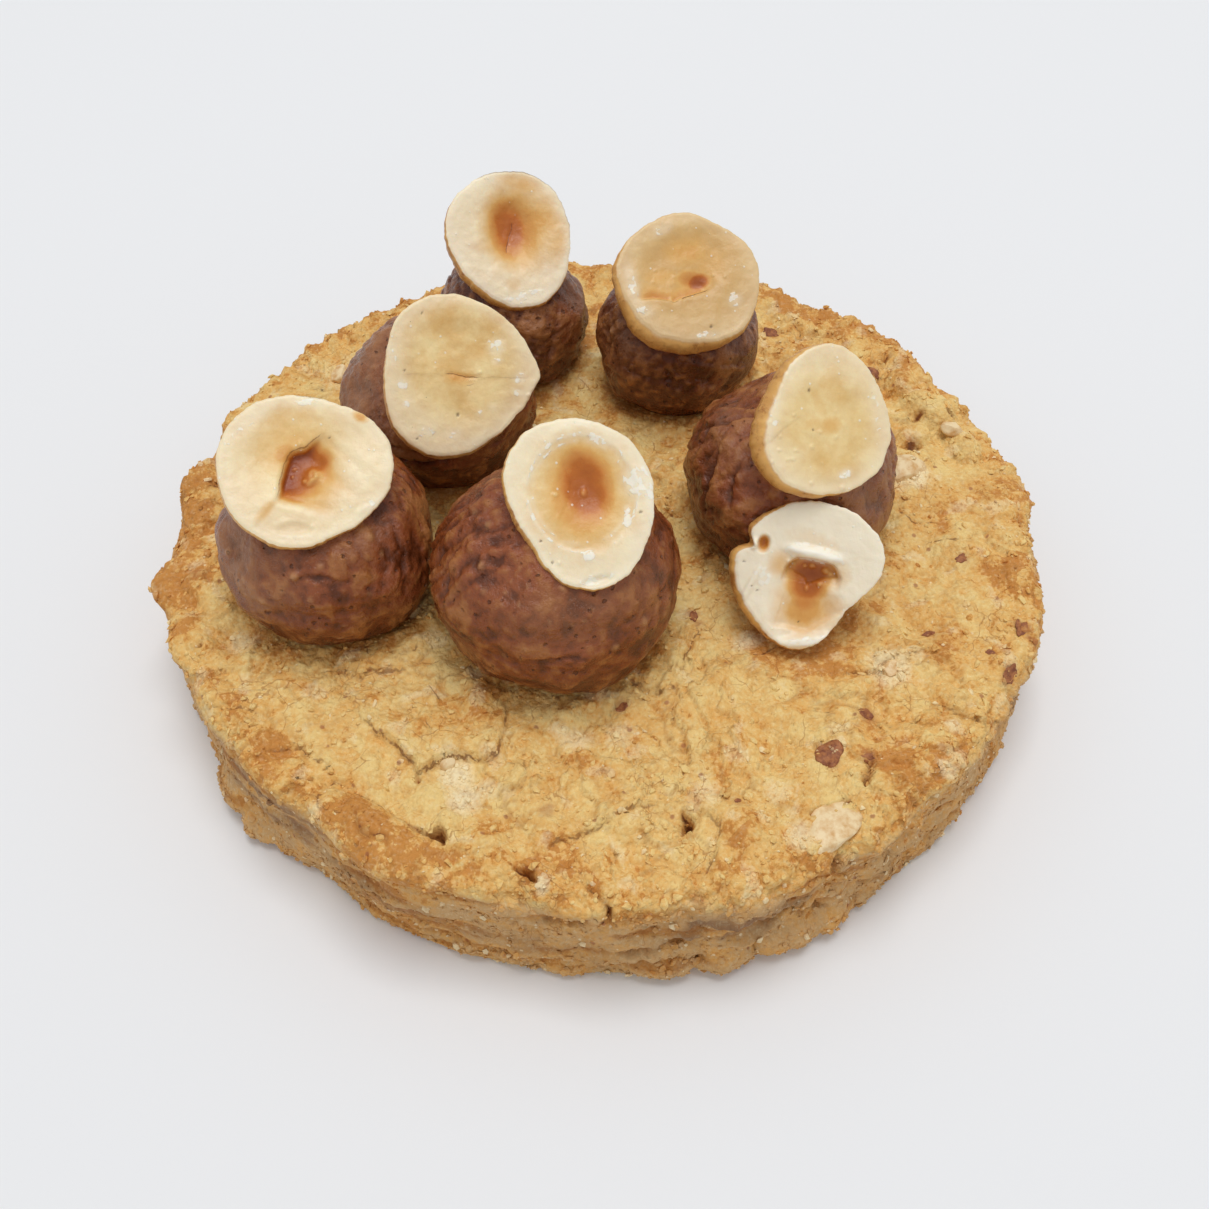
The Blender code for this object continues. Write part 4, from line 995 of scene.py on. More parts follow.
def ball_skin(name, there):
    """How far the skin of one ball stands out, and the layers that its material reads."""
    _, width, _, folds, run, seed, _ = PRALINE[name]

    # Folds: thin overlapping steps that run round the ball about a leaning axis
    axis = (0.35 * math.cos(math.radians(run)), 0.35 * math.sin(math.radians(run)), 0.94)
    level = BALL_PLACES @ axis * width / 1.9
    level += 1.5 * lumps(there, 6.5, seed * 7) + 0.5 * lumps(there, 2.4, seed * 9)
    part = level - np.floor(level)
    strength = folds * ease((lumps(there, 5.0, seed * 3) + 0.15) / 0.4)
    out = FOLD_DEPTH * strength * (part - ease((part - 0.82) / 0.18))
    # Painted shade along the foot of each fold step
    dark = 0.6 * strength * ease((part - 0.84) / 0.08) * ease((1 - part) / 0.05)

    # Wrinkles, creases and lumpy patches, bent a little so that none runs straight
    drift = 0.7 * sway(there, 2.6, (5.0, 8.0)) + 0.35 * sway(there, 1.1, (6.0, 9.0))
    for direction, elevation, wide, tall, way, pitch, depth in WRINKLES[name]:
        zone, across, up = skin_patch(width, direction, elevation, wide, tall)
        angle = math.radians(way)
        lengthwise = across * math.cos(angle) + up * math.sin(angle)
        crosswise = up * math.cos(angle) - across * math.sin(angle)
        grid = np.stack([lengthwise / (4.2 * pitch), crosswise / pitch, np.full(len(up), seed)], 1)
        grid[:, :2] += 0.32 * drift
        fold = np.abs(lumps(grid, 1.0, direction * 0.1))
        out += depth * zone * (ease(fold / 0.30) - 0.55)
        # Painted shade in the valleys of the wrinkles
        dark = np.maximum(dark, 0.75 * zone * ease(1 - fold / 0.07))
    for wide, depth, route in CREASES[name]:
        from_start = np.stack(over_skin(BALL_TURN, BALL_HEIGHT, width, *route[0]), 1) + 0.4 * drift
        points = np.stack(over_skin(*np.array(route).T, width, *route[0]), 1)
        distance, along, side = to_route(from_start, points)
        taper = tapered(along, 0.06)
        out -= depth * taper * ease(1.3 - distance / (wide * taper + 0.05))
        out += 0.6 * depth * taper * (side > 0) * ease(1 - distance / 1.5) * ease(distance / 0.4)
        # Painted shade along the creases
        dark = np.maximum(dark, taper * ease(1.1 - distance / (0.8 * wide * taper + 0.05)))
    open_skin = np.zeros(len(there))
    for *place, high in LUMPY[name]:
        zone, _, _ = skin_patch(width, *place)
        lump_near, _ = granules(there + 0.4 * drift.mean(1)[:, None], 1.9, seed)
        out += high * zone * (ease(1 - lump_near / 0.62) - 0.12)
        open_skin = np.maximum(open_skin, zone)
    relief = sum(high * lumps(there, size, seed) for size, high in SKIN_GRAINS)
    out += GRAIN_DEPTH * relief
    # The height of the skin, for the colour to paint shade in its hollows and light on its tops
    relief = 0.5 + 0.8 * relief + 0.9 * out

    # Bits of nut under the skin, small holes where the skin broke, and bloom with painted sheen
    bit_near, _ = granules(there, 2.3, seed * 5)
    bits = ease(1.25 - bit_near / 0.20) * ease((lumps(there, 4.0, seed * 11) + 0.05) / 0.2)
    fine_near, _ = granules(there, 1.25, seed * 19)
    fine = ease(1.25 - fine_near / 0.16) * ease((lumps(there, 3.0, seed * 23) - 0.02) / 0.2)
    bits = np.maximum(bits, 0.8 * fine)
    hole_near, _ = granules(there, 1.7, seed * 13)
    holes = ease(1 - hole_near / 0.13) * ease((lumps(there, 3.0, seed * 17) - 0.05) / 0.3)
    out += BIT_HEIGHT * bits - HOLE_DEPTH * holes
    bloom_and_sheen_here = np.max([amount * skin_patch(width, *place, 1.5)[0] for *place, amount in BLOOM_AND_SHEEN_PLACES[name]], 0)
    # Creases, fold steps and holes are painted dark, as shade
    return out, {
        "nut_bits": bits, "crease_and_hole_shade": 0.45 * np.maximum(holes, dark), "open_skin": open_skin,
        "skin_height_for_shade": relief, "bloom_and_sheen": bloom_and_sheen_here,
    }


def praline_ball(name):
    """One ball, with its skin and flat foot, pressed against a neighbour that it touches."""
    middle, width, depth, _, _, seed, paste_shade = PRALINE[name]
    middle, squat = np.array(middle), np.array([1, 1, BALL_SQUAT])
    place = BALL_PLACES * width * squat + (0, 0, THICKNESS + BALL_STAND * width)
    normal = BALL_PLACES / squat
    normal /= np.linalg.norm(normal, axis=1)[:, None]
    there, height = place + (*middle, 0), place[:, 2] - THICKNESS
    out, layers = ball_skin(name, there)
    out += sum(deep * lumps(there, size) for size, deep in BALL_LUMPS)
    out += RIDGE_DEPTH * np.sin(math.tau * place[:, 2] / RIDGE_PITCH + np.radians(BALL_TURN))
    # Painted shade: darker towards the biscuit, and darker all over on the balls at the back
    layers["paste_shade"] = paste_shade + ease((8.0 - height + 2.0 * lumps(there, 3.0, seed)) / 8.0)
    place += normal * (out * (0.15 + 0.85 * ease(height / 1.6)))[:, None]
    place[:, 1] *= depth / width
    for other, (beside, other_width, *_) in PRALINE.items():
        if other != name:
            apart = beside - middle
            distance = np.linalg.norm(apart)
            limit = distance * width / (width + other_width) - BALL_GAP / 4
            beyond = np.maximum(place[:, :2] @ apart / distance - limit, 0)
            place[:, :2] -= beyond[:, None] * apart / distance
    place[:, :2] += middle
    place[:, 2] = np.maximum(place[:, 2], THICKNESS - BALL_SUNK)
    mesh = new_mesh("praline_" + name, place + RING_MIDDLE, BALL_FACES)
    paint(mesh, **layers)
    return mesh


# Set gianduja: milk-chocolate brown with a satin skin. It has a greyer bloom where it was handled, which is
# partly painted sheen; painted shade darkens it towards the biscuit; it is redder where the skin broke.
# Its raised places are painted paler, as light, its hollows, creases and holes darker, as shade, and dark
# specks of nut skin lie all through it.
MILK_CHOCOLATE = linear("#88441C")
SHADED_PASTE = linear("#693415")
BLOOM_AND_SHEEN = linear("#A0704A")
OPEN_PASTE = linear("#9A5430")
HOLLOW_SHADE = linear("#56280F")
RAISED_LIGHT = linear("#AE713B")
DARK_SPOT = linear("#45200F")
NUT_GRIT = linear("#C08C5C")
CREASE_HOLE_SHADE = linear("#4E2411")
SPECK_SPACING = 0.95
CLOUD_SIZE = 4.5
STAIN_SIZE = 0.6
STAIN_RELIEF = 0.26
# Size and reach of the waves that make the specks ragged
RAGGED_SIZE = 0.5
RAGGED_REACH = 0.7

praline_finish, tree, shader, coordinates, layer = new_material("set praline paste", (
    "nut_bits", "crease_and_hole_shade", "open_skin", "skin_height_for_shade", "bloom_and_sheen", "paste_shade",
))
cloud = add_node(tree, "TexNoise", {
    "Vector": coordinates, "Scale": 1 / (CLOUD_SIZE * MM), "Detail": 6.0, "Roughness": 0.65,
    "Distortion": 0.6,
})
stain = add_node(tree, "TexNoise", {
    "Vector": coordinates, "Scale": 1 / (STAIN_SIZE * MM), "Detail": 4.0, "Roughness": 0.65,
})
opened = add_node(tree, "Math", (layer["open_skin"], 0.7), operation="MULTIPLY")
height = add_node(tree, "Math", (layer["skin_height_for_shade"], stain), operation="ADD")
height = add_node(tree, "Math", (height, cloud), operation="ADD")
# Painted shade in the low places of the skin, painted light on its raised ones
hollow = add_node(tree, "MapRange", (height, 1.45, 1.00, 0.0, 0.85))
raised = add_node(tree, "MapRange", (height, 1.52, 2.00, 0.0, 0.75))
# The bloom is partly painted sheen, strongest in the places listed for each ball
bloom_and_sheen_mix = add_node(tree, "MapRange", (cloud, 0.30, 0.60, 0.2, 0.85))
bloom_and_sheen_mix = add_node(tree, "Math", (bloom_and_sheen_mix, layer["bloom_and_sheen"]), operation="MULTIPLY")
ragged = add_node(tree, "TexNoise", {
    "Vector": coordinates, "Scale": 1 / (RAGGED_SIZE * MM), "Detail": 3.0,
}, "Color")
ragged = add_node(
    tree, "VectorMath", (ragged, (RAGGED_REACH * MM,) * 3, coordinates), operation="MULTIPLY_ADD",
)
speck = add_node(tree, "TexVoronoi", {"Vector": ragged, "Scale": 1 / (SPECK_SPACING * MM)})
chosen = add_node(tree, "MapRange", (speck.node.outputs["Color"], 0.50, 0.62))
spotted = add_node(tree, "MapRange", (speck, 0.24, 0.12, 0.0, 0.60))
spotted = add_node(tree, "Math", (spotted, chosen), operation="MULTIPLY")
grit = add_node(tree, "Math", (layer["nut_bits"], 0.65), operation="MULTIPLY")
colour = MILK_CHOCOLATE
for share, tint in (
    (layer["paste_shade"], SHADED_PASTE), (opened, OPEN_PASTE), (hollow, HOLLOW_SHADE), (raised, RAISED_LIGHT), (bloom_and_sheen_mix, BLOOM_AND_SHEEN),
    (spotted, DARK_SPOT), (layer["crease_and_hole_shade"], CREASE_HOLE_SHADE), (grit, NUT_GRIT),
):
    colour = add_node(tree, "Mix", {0: share, 6: colour, 7: tint}, 2, data_type="RGBA")
satin = add_node(tree, "MapRange", (cloud, 0.35, 0.65, 0.22, 0.38))
skin = add_node(tree, "Math", (stain, spotted), operation="SUBTRACT")
bump = add_node(tree, "Bump", {"Height": skin, "Strength": 1.0, "Distance": STAIN_RELIEF * MM})
connect(shader, {"Base Color": colour, "Roughness": satin, "IOR": 1.46, "Normal": bump})

for name in PRALINE:
    add_piece("praline_ball_" + name, praline_ball(name), praline_finish, ("praline_" + name,))

# The hazelnuts are blanched and cut in half. The cut face is cream and waxy, with the toasted hollow of the
# germ, and the round back is golden. Each was pressed into its ball by hand.
NUT_STEPS = 92
NUT_ROWS = 16
BELLY_FULLNESS = 2.15
FACE_ROUNDING = 0.12
ROUNDED_FROM = 0.965
LINE_DEPTH = 0.14
HEART_EDGE = 0.07
NICK_DEPTH = 0.15

# For each half: the face's middle, the elevation and direction it faces, mean radius and depth, and the
# lobes of its outline (count, reach, first direction) and its corners and notches (direction, reach,
# spread). The round back swells out past the face on one side (direction, reach). Ivory and roasted say how
# pale or brown the flesh is. On the face, in mm to the right and up from its middle: the see-through heart
# (middle, half sizes, turn, sharpness), hollows (the same and a depth before the sharpness), ledges where
# the face breaks down and rises again slowly (depth, width of the break, reach, how toasted, and the edge
# with the low side on its left), fine dark lines (how dark, route), bumps and loose crumbs (middle, half
# sizes, turn, height), toasted spots and flaked white patches (middle, half sizes, turn, amount), rings (an
# edge round the heart, and how strong) and dark nicks (middle, radius).
HAZELNUTS = {
    "back_left": {
        "middle": (-10.1, 25.6, 29.5), "faces": (49, -73), "radius": 7.0, "depth": 5.6, "ivory": 0.45,
        "roasted": 0.05,
        "lobes": ((1, 0.2, 92), (2, 0.4, 100), (3, 0.3, 40)), "swell": (225, 0.6),
        "heart": (0.4, 1.0, 3.8, 4.4, 0, 2.0),
        "hollows": ((0.3, 1.0, 2.5, 3.4, -8, 0.8, 1.5), (0.6, 1.0, 4.6, 5.0, 0, 0.5, 1.0)),
        "ledges": ((0.2, 1.1, 3.0, 0.0, ((3.2, 0.6), (2.9, 1.9), (2.2, 3.2), (0.9, 4.3), (-0.6, 4.0),
            (-1.6, 3.0), (-1.9, 1.6), (-1.8, 0.2), (-1.3, -1.4))),),
        "lines": ((0.75, ((0.65, 2.1), (0.5, 1.5), (0.0, 0.6), (-0.7, -0.8), (-0.85, -1.3))),),
        "toasted": ((0.1, 1.3, 2.5, 3.7, -8, 0.8), (0.7, 1.2, 3.5, 4.4, -8, 0.56),
            (2.8, 1.4, 3.4, 3.8, 0, 0.42), (4.3, -0.4, 1.8, 3.0, 0, 0.32), (2.4, 5.6, 3.0, 1.2, -25, 0.28),
            (-0.9, -4.8, 1.2, 1.0, 0, 0.16)),
        "chalky": ((0.2, -6.2, 3.0, 0.6, 5, 0.45), (-5.6, 0.0, 0.8, 2.6, 0, 0.25)),
    },
    "back_right": {
        "middle": (8.9, 18.9, 29.3), "faces": (54, -78), "radius": 7.2, "depth": 5.6, "ivory": 0.0,
        "roasted": 0.8,
        "lobes": ((2, 0.4, 156), (5, 0.15, 14)), "swell": (232, 1.35),
        "heart": (0.2, 0.8, 5.2, 4.8, 0, 3.0),
        "hollows": ((-0.2, 2.0, 4.4, 3.0, 4, 0.5, 2.0), (0.8, -0.6, 1.8, 1.2, 0, 0.35, 1.0)),
        "ledges": ((0.35, 0.3, 1.8, 0.55, ((-6.3, -1.5), (-5.6, -1.6), (-4.2, -1.6), (-2.1, -2.3),
            (-0.9, -1.9), (0.7, -1.6), (1.7, -1.4), (3.2, -1.0))),),
        "lines": ((1.0, ((-1.3, -2.1), (-0.9, -1.9), (0.7, -1.6), (1.9, -1.3))), (0.3, ((-5.9, -1.6),
            (-4.2, -1.6), (-2.1, -2.3), (-1.5, -2.2)))),
        "crumbs": ((-3.5, 1.4, 0.2, 0.18, 0, 0.12), (-3.9, 0.2, 0.16, 0.16, 0, 0.12),
            (2.6, 0.1, 0.15, 0.15, 0, 0.12), (-1.6, 0.5, 0.16, 0.14, 0, 0.12),
            (3.7, -0.3, 0.14, 0.14, 0, 0.12), (-2.4, -1.9, 0.2, 0.3, 0, 0.15)),
        "toasted": ((0.9, -0.3, 1.4, 1.0, 6, 0.9), (0.2, 2.8, 2.6, 1.8, 4, 0.42),
            (-2.6, 0.4, 2.4, 1.2, 0, 0.36), (2.4, 1.2, 2.2, 2.2, 0, 0.3), (-4.0, -1.3, 1.8, 0.45, 0, 0.4),
            (0.0, 0.1, 1.7, 1.2, 0, 0.58)),
        "chalky": ((-6.2, 0.2, 0.7, 2.6, 5, 0.55), (-2.0, 5.5, 1.3, 0.6, 20, 0.5),
            (4.4, -2.9, 0.8, 0.7, 0, 0.5), (-5.4, -2.8, 1.0, 0.6, -30, 0.5), (0.8, -6.2, 1.4, 0.4, 0, 0.4)),
        "nicks": ((1.3, -5.4, 0.2),),
    },
    "mid_left": {
        "middle": (-14.2, 3.7, 29.4), "faces": (46, -72), "radius": 7.5, "depth": 5.4, "ivory": 0.16,
        "roasted": 0.0,
        "lobes": ((1, 0.35, 184), (2, 0.25, 57), (3, 0.45, 109)), "corners": ((-11, 0.55, 10),),
        "swell": (235, 0.45),
        "heart": (0.4, 0.8, 5.4, 5.8, -14, 3.0),
        "hollows": ((0.4, 2.4, 4.4, 2.6, -14, 0.3, 2.0), (0.0, -0.3, 1.4, 0.7, -14, 0.12, 1.0)),
        "ledges": ((0.08, 0.3, 5.0, 0.0, ((7.6, -2.1), (1.8, -0.8), (-1.1, 0.1), (-6.4, 1.1))),),
        "lines": ((0.8, ((-1.5, 0.25), (-0.2, -0.1), (0.6, -0.5), (2.1, -0.85))), (0.1, ((-5.4, 0.95),
            (-1.5, 0.25))), (0.16, ((2.1, -0.85), (6.7, -1.95))), (0.3, ((0.4, -1.25), (0.8, -1.35),
            (1.2, -1.3)))),
        "crumbs": ((2.0, -0.35, 0.2, 0.16, 0, 0.14), (-2.2, 0.9, 0.14, 0.14, 0, 0.12),
            (6.2, -3.5, 0.2, 0.2, 0, 0.2)),
        "toasted": ((0.0, 1.0, 2.2, 1.4, -14, 0.18), (-0.1, -0.4, 1.7, 0.7, -14, 0.42),
            (0.4, 4.6, 4.4, 1.8, -8, 0.2), (0.3, 2.4, 4.4, 2.6, -14, 0.12)),
        "chalky": ((4.2, 1.7, 0.9, 0.8, 30, 0.7), (3.9, 0.4, 0.6, 0.4, 0, 0.5),
            (-5.7, 0.1, 0.5, 0.6, 0, 0.6), (-5.8, -1.9, 0.35, 0.35, 0, 0.8), (-6.0, 3.0, 0.5, 1.0, 0, 0.4),
            (-4.4, -4.8, 0.9, 0.6, -10, 0.5), (-2.0, -5.7, 0.8, 0.6, 0, 0.5), (5.7, -1.7, 0.6, 0.5, 0, 0.7),
            (5.2, -3.0, 0.6, 0.4, -40, 0.5), (2.4, -3.9, 0.5, 0.5, 0, 0.3), (1.0, -4.2, 0.4, 0.3, 0, 0.4),
            (-1.1, -6.7, 2.5, 0.4, 0, 0.35)),
        "nicks": ((-1.1, -3.9, 0.2), (-5.5, -5.3, 0.15), (-5.2, 1.3, 0.13), (-2.2, 6.3, 0.13)),
    },
    "left": {
        "middle": (-26.8, -10.9, 30.9), "faces": (58, -72), "radius": 7.3, "depth": 5.6, "ivory": 0.25,
        "roasted": 0.0,
        "lobes": ((1, 0.2, 193), (2, 0.45, 169), (3, 0.3, 118)), "swell": (205, 0.25),
        "heart": (-0.4, 1.6, 4.6, 4.2, 20, 1.5),
        "hollows": ((-0.4, 1.4, 4.2, 3.8, 20, 0.7, 1.2), (-2.3, -5.2, 1.5, 0.55, -12, 0.22, 3.0)),
        "ledges": ((1.25, 0.45, 3.7, 1.05, ((2.6, 3.3), (1.9, 2.8), (1.0, 2.4), (0.3, 2.05), (-0.3, 2.0),
            (-0.9, 1.9), (-1.4, 1.5), (-1.8, 0.8), (-2.2, 0.0), (-2.6, -0.9), (-2.9, -1.7), (-3.2, -2.2),
            (-3.6, -2.9))), (0.1, 0.4, 1.6, 0.0, ((-3.0, -1.9), (-4.7, -3.3), (-6.2, -4.6)))),
        "lines": ((0.5, ((2.2, 3.0), (1.9, 2.8), (1.0, 2.4), (0.3, 2.05), (-0.3, 2.0), (-0.9, 1.9),
            (-1.4, 1.5), (-1.8, 0.8), (-2.2, 0.0), (-2.6, -0.9), (-2.9, -1.7), (-3.3, -2.4))),),
        "crumbs": ((0.45, -0.55, 0.75, 0.6, 35, 0.42), (0.95, -0.85, 0.45, 0.6, -20, 0.3),
            (0.1, -1.2, 0.5, 0.3, 10, 0.25), (-0.4, -0.9, 0.2, 0.2, 0, 0.2), (0.0, 2.4, 0.22, 0.2, 0, 0.2),
            (-1.0, 0.5, 0.16, 0.14, 0, 0.2), (-1.3, -0.2, 0.12, 0.12, 0, 0.2),
            (-0.8, -5.4, 0.2, 0.2, 0, 0.15), (4.0, -4.9, 0.7, 0.3, 20, 0.12)),
        "toasted": ((-1.5, 1.9, 1.6, 1.2, 40, 0.48), (-0.6, 2.2, 3.8, 2.8, 10, 0.34),
            (-0.4, 4.4, 3.0, 1.6, 10, 0.2), (0.9, 0.4, 1.9, 1.5, 30, 0.82), (-0.2, -0.6, 2.2, 1.6, 40, 0.86),
            (5.8, 3.5, 0.8, 0.5, -40, 0.5), (-4.4, -3.1, 1.5, 0.5, 38, 0.26)),
        "chalky": ((-2.2, -5.9, 1.6, 0.3, -10, 0.5), (-3.4, 5.4, 2.6, 0.6, 30, 0.4),
            (4.6, -4.6, 1.0, 0.4, 20, 0.5), (1.6, 5.8, 2.0, 0.5, -10, 0.45), (4.0, -0.5, 1.6, 2.6, 0, 0.2)),
        "nicks": ((2.7, 2.4, 0.12),),
    },
    "front": {
        "middle": (-2.1, -16.7, 32.5), "faces": (52, -82), "radius": 6.75, "depth": 5.6, "ivory": 0.38,
        "roasted": 0.0,
        "lobes": ((1, 0.25, 45), (2, 0.75, 108), (3, 0.35, 28)), "swell": (205, 0.45),
        "heart": (0.2, 0.7, 4.6, 5.0, 8, 7.0),
        "hollows": ((0.3, 1.3, 2.7, 3.4, 8, 0.7, 1.3), (0.2, 0.7, 4.7, 5.1, 8, 0.22, 9.0)),
        "ledges": ((0.22, 1.7, 3.6, 0.0, ((3.6, -2.2), (3.1, -0.5), (2.6, 1.0), (2.0, 2.8), (0.8, 4.3),
            (-0.3, 4.7), (-1.6, 4.6), (-2.8, 3.8))),),
        "bumps": ((0.7, -6.9, 1.4, 0.4, 8, -0.35), (4.8, 1.3, 0.9, 1.5, 10, 0.08),
            (0.2, -4.7, 0.55, 0.5, 8, 0.12)),
        "crumbs": ((-2.1, 0.9, 0.22, 0.22, 0, 0.22), (0.4, 0.9, 0.28, 0.36, 0, 0.28),
            (-2.4, -5.0, 0.2, 0.18, 0, 0.15)),
        "toasted": ((0.5, 1.4, 2.8, 3.8, 10, 0.84), (0.2, 1.0, 3.7, 4.5, 8, 0.56),
            (0.0, 0.7, 4.6, 5.1, 8, 0.34)),
        "rings": ((0.2, 0.7, 4.7, 5.1, 8, 0.9), (0.1, 0.8, 4.2, 4.5, 8, 0.5)),
        "chalky": ((4.7, 1.3, 0.9, 1.5, 10, 0.85), (3.8, -2.0, 0.4, 0.6, 0, 0.8),
            (3.9, -1.0, 0.3, 0.4, 0, 0.6), (2.6, 4.9, 1.5, 0.4, -14, 0.6), (0.9, 6.8, 0.9, 0.4, -10, 0.7),
            (0.2, -4.7, 0.55, 0.5, 8, 1.3), (6.0, -0.6, 0.5, 3.4, 8, 0.7), (0.6, -6.7, 1.8, 0.5, 8, 0.7),
            (4.6, -3.6, 0.8, 1.6, -30, 0.4)),
        "nicks": ((5.0, -1.4, 0.15), (-3.8, -3.0, 0.13), (-3.0, -4.9, 0.13)),
    },
    "right": {
        "middle": (20.1, -5.5, 31.6), "faces": (46, -72), "radius": 6.35, "depth": 5.4, "ivory": 0.15,
        "roasted": 0.05,
        "lobes": ((1, 0.55, 316), (2, 0.5, 70), (3, 0.35, 81)), "swell": (178, 1.3),
        "heart": (0.2, -0.6, 4.6, 4.8, 0, 2.5),
        "hollows": ((0.1, -0.5, 3.4, 3.2, 0, 0.22, 1.6),),
        "ledges": ((0.1, 0.3, 3.4, 0.0, ((-1.8, 0.9), (-2.8, 0.7), (-4.0, 0.3), (-5.4, -0.5),
            (-6.4, -1.2))),),
        "crumbs": ((-2.8, 1.1, 0.18, 0.18, 0, 0.14), (-4.9, -1.7, 0.18, 0.18, 0, 0.14),
            (-3.3, -2.1, 0.22, 0.16, 0, 0.14), (-1.7, -2.1, 0.22, 0.2, 0, 0.16),
            (-4.3, -2.7, 0.18, 0.18, 0, 0.14), (-3.8, -2.8, 0.18, 0.16, 0, 0.14),
            (-4.5, -0.5, 0.18, 0.15, 0, 0.14), (-0.7, -0.9, 0.25, 0.2, 0, 0.16),
            (0.8, -1.7, 0.3, 0.18, 0, 0.14), (2.1, -3.8, 0.2, 0.16, 0, 0.14),
            (-1.1, -3.8, 0.16, 0.16, 0, 0.12), (-2.5, -5.3, 0.22, 0.18, 0, 0.16),
            (1.2, 0.6, 0.15, 0.15, 0, 0.12), (0.3, -6.4, 0.3, 0.25, 0, 0.2), (-5.9, -2.6, 0.2, 0.2, 0, 0.2)),
        "toasted": ((0.4, -0.6, 1.2, 0.9, 0, 0.36), (-0.2, 1.6, 0.7, 1.8, 12, 0.22),
            (-0.9, -0.2, 1.2, 0.9, 0, 0.24), (1.2, 3.0, 1.6, 2.0, 0, 0.14)),
        "chalky": ((0.8, -5.2, 0.7, 0.4, 10, 0.95), (-4.6, 2.3, 0.6, 2.6, -22, 0.35),
            (-2.2, 5.4, 1.6, 0.6, 35, 0.3), (5.2, -0.8, 0.7, 2.4, 0, 0.3), (-3.2, -2.4, 1.4, 0.8, 0, 0.2)),
        "nicks": ((-0.9, 3.0, 0.17), (-1.3, -0.6, 0.11), (-3.2, 4.5, 0.11), (-3.4, 4.9, 0.12)),
    },
    "loose": {
        "middle": (18.8, -14.5, 20.15), "faces": (40, -101), "radius": 6.6, "depth": 4.6, "ivory": 1.0,
        "roasted": 0.0,
        "lobes": ((1, 0.55, 98), (2, 0.5, 62), (3, 0.5, 33), (4, 0.2, 9)), "corners": ((157, -1.1, 7),),
        "swell": (198, 0.95),
        "heart": (0.5, -2.4, 3.4, 3.6, 0, 2.5),
        "hollows": ((0.6, -0.9, 3.6, 3.4, 0, 0.5, 1.4), (-4.35, 2.5, 0.5, 0.75, 0, 1.1, 2.5),
            (0.6, -3.2, 3.0, 2.6, 0, 0.4, 1.8), (0.4, -0.4, 1.5, 1.1, 0, 0.42, 1.2)),
        "ledges": ((1.2, 0.45, 2.8, 0.6, ((2.9, -1.7), (3.3, -0.7), (3.3, 0.2), (3.0, 0.9), (2.4, 1.45),
            (1.3, 1.75), (0.1, 1.85), (-0.9, 1.75), (-1.7, 1.2), (-2.1, 0.5), (-2.3, -0.7), (-2.0, -2.0))),
            (0.7, 0.3, 2.2, 0.2, ((-3.6, -4.7), (-2.3, -5.2), (-1.0, -5.2), (0.0, -5.4), (0.9, -5.4),
            (1.6, -4.8), (2.7, -4.0), (3.7, -3.2), (4.8, -2.2)))),
        "lines": ((0.3, ((2.9, 1.0), (2.4, 1.4), (1.3, 1.7), (0.1, 1.8), (-0.9, 1.7), (-1.7, 1.15))),),
        "bumps": ((0.5, 2.2, 2.4, 0.62, -5, 0.95), (1.0, -6.1, 3.4, 0.6, 14, 0.55),
            (-5.1, -1.8, 0.35, 2.6, -20, 0.25)),
        "crumbs": ((-5.2, 2.4, 0.45, 0.5, 0, 0.5), (-1.8, 1.2, 0.24, 0.18, 30, 0.3),
            (-1.3, 0.9, 0.2, 0.16, 0, 0.4), (0.5, 0.9, 0.34, 0.26, 0, 0.45), (1.8, 0.6, 0.34, 0.26, 0, 0.45),
            (1.4, -0.7, 0.22, 0.2, 30, 0.3), (0.3, -1.2, 0.24, 0.28, 0, 0.35),
            (-0.2, 0.8, 0.2, 0.18, 0, 0.3), (2.3, 0.4, 0.2, 0.2, 0, 0.3)),
        "toasted": ((0.4, 0.3, 2.4, 1.7, 0, 0.84), (0.3, -1.0, 2.0, 1.9, 0, 0.8),
            (0.4, -2.6, 1.8, 1.6, 0, 0.56), (0.4, -3.6, 2.6, 2.0, 0, 0.48), (0.3, -3.2, 3.5, 2.7, 0, 0.34),
            (1.0, 3.4, 2.0, 0.8, -20, 0.14), (-4.3, 2.5, 0.5, 0.75, 0, 0.62), (-2.5, 0.9, 1.3, 1.4, 0, 0.3),
            (3.0, 0.5, 1.4, 1.8, 0, 0.24), (0.5, 3.4, 3.0, 0.8, -8, 0.14)),
        "chalky": ((0.5, 2.15, 2.4, 0.68, -5, 3.0), (-3.8, -0.6, 1.2, 1.4, 0, 0.5),
            (1.2, -6.1, 3.2, 0.5, 16, 0.8)),
        "nicks": ((-4.3, -2.0, 0.11), (-4.9, -1.6, 0.11), (0.0, -4.6, 0.12), (-5.9, 0.6, 0.12)),
    },
}


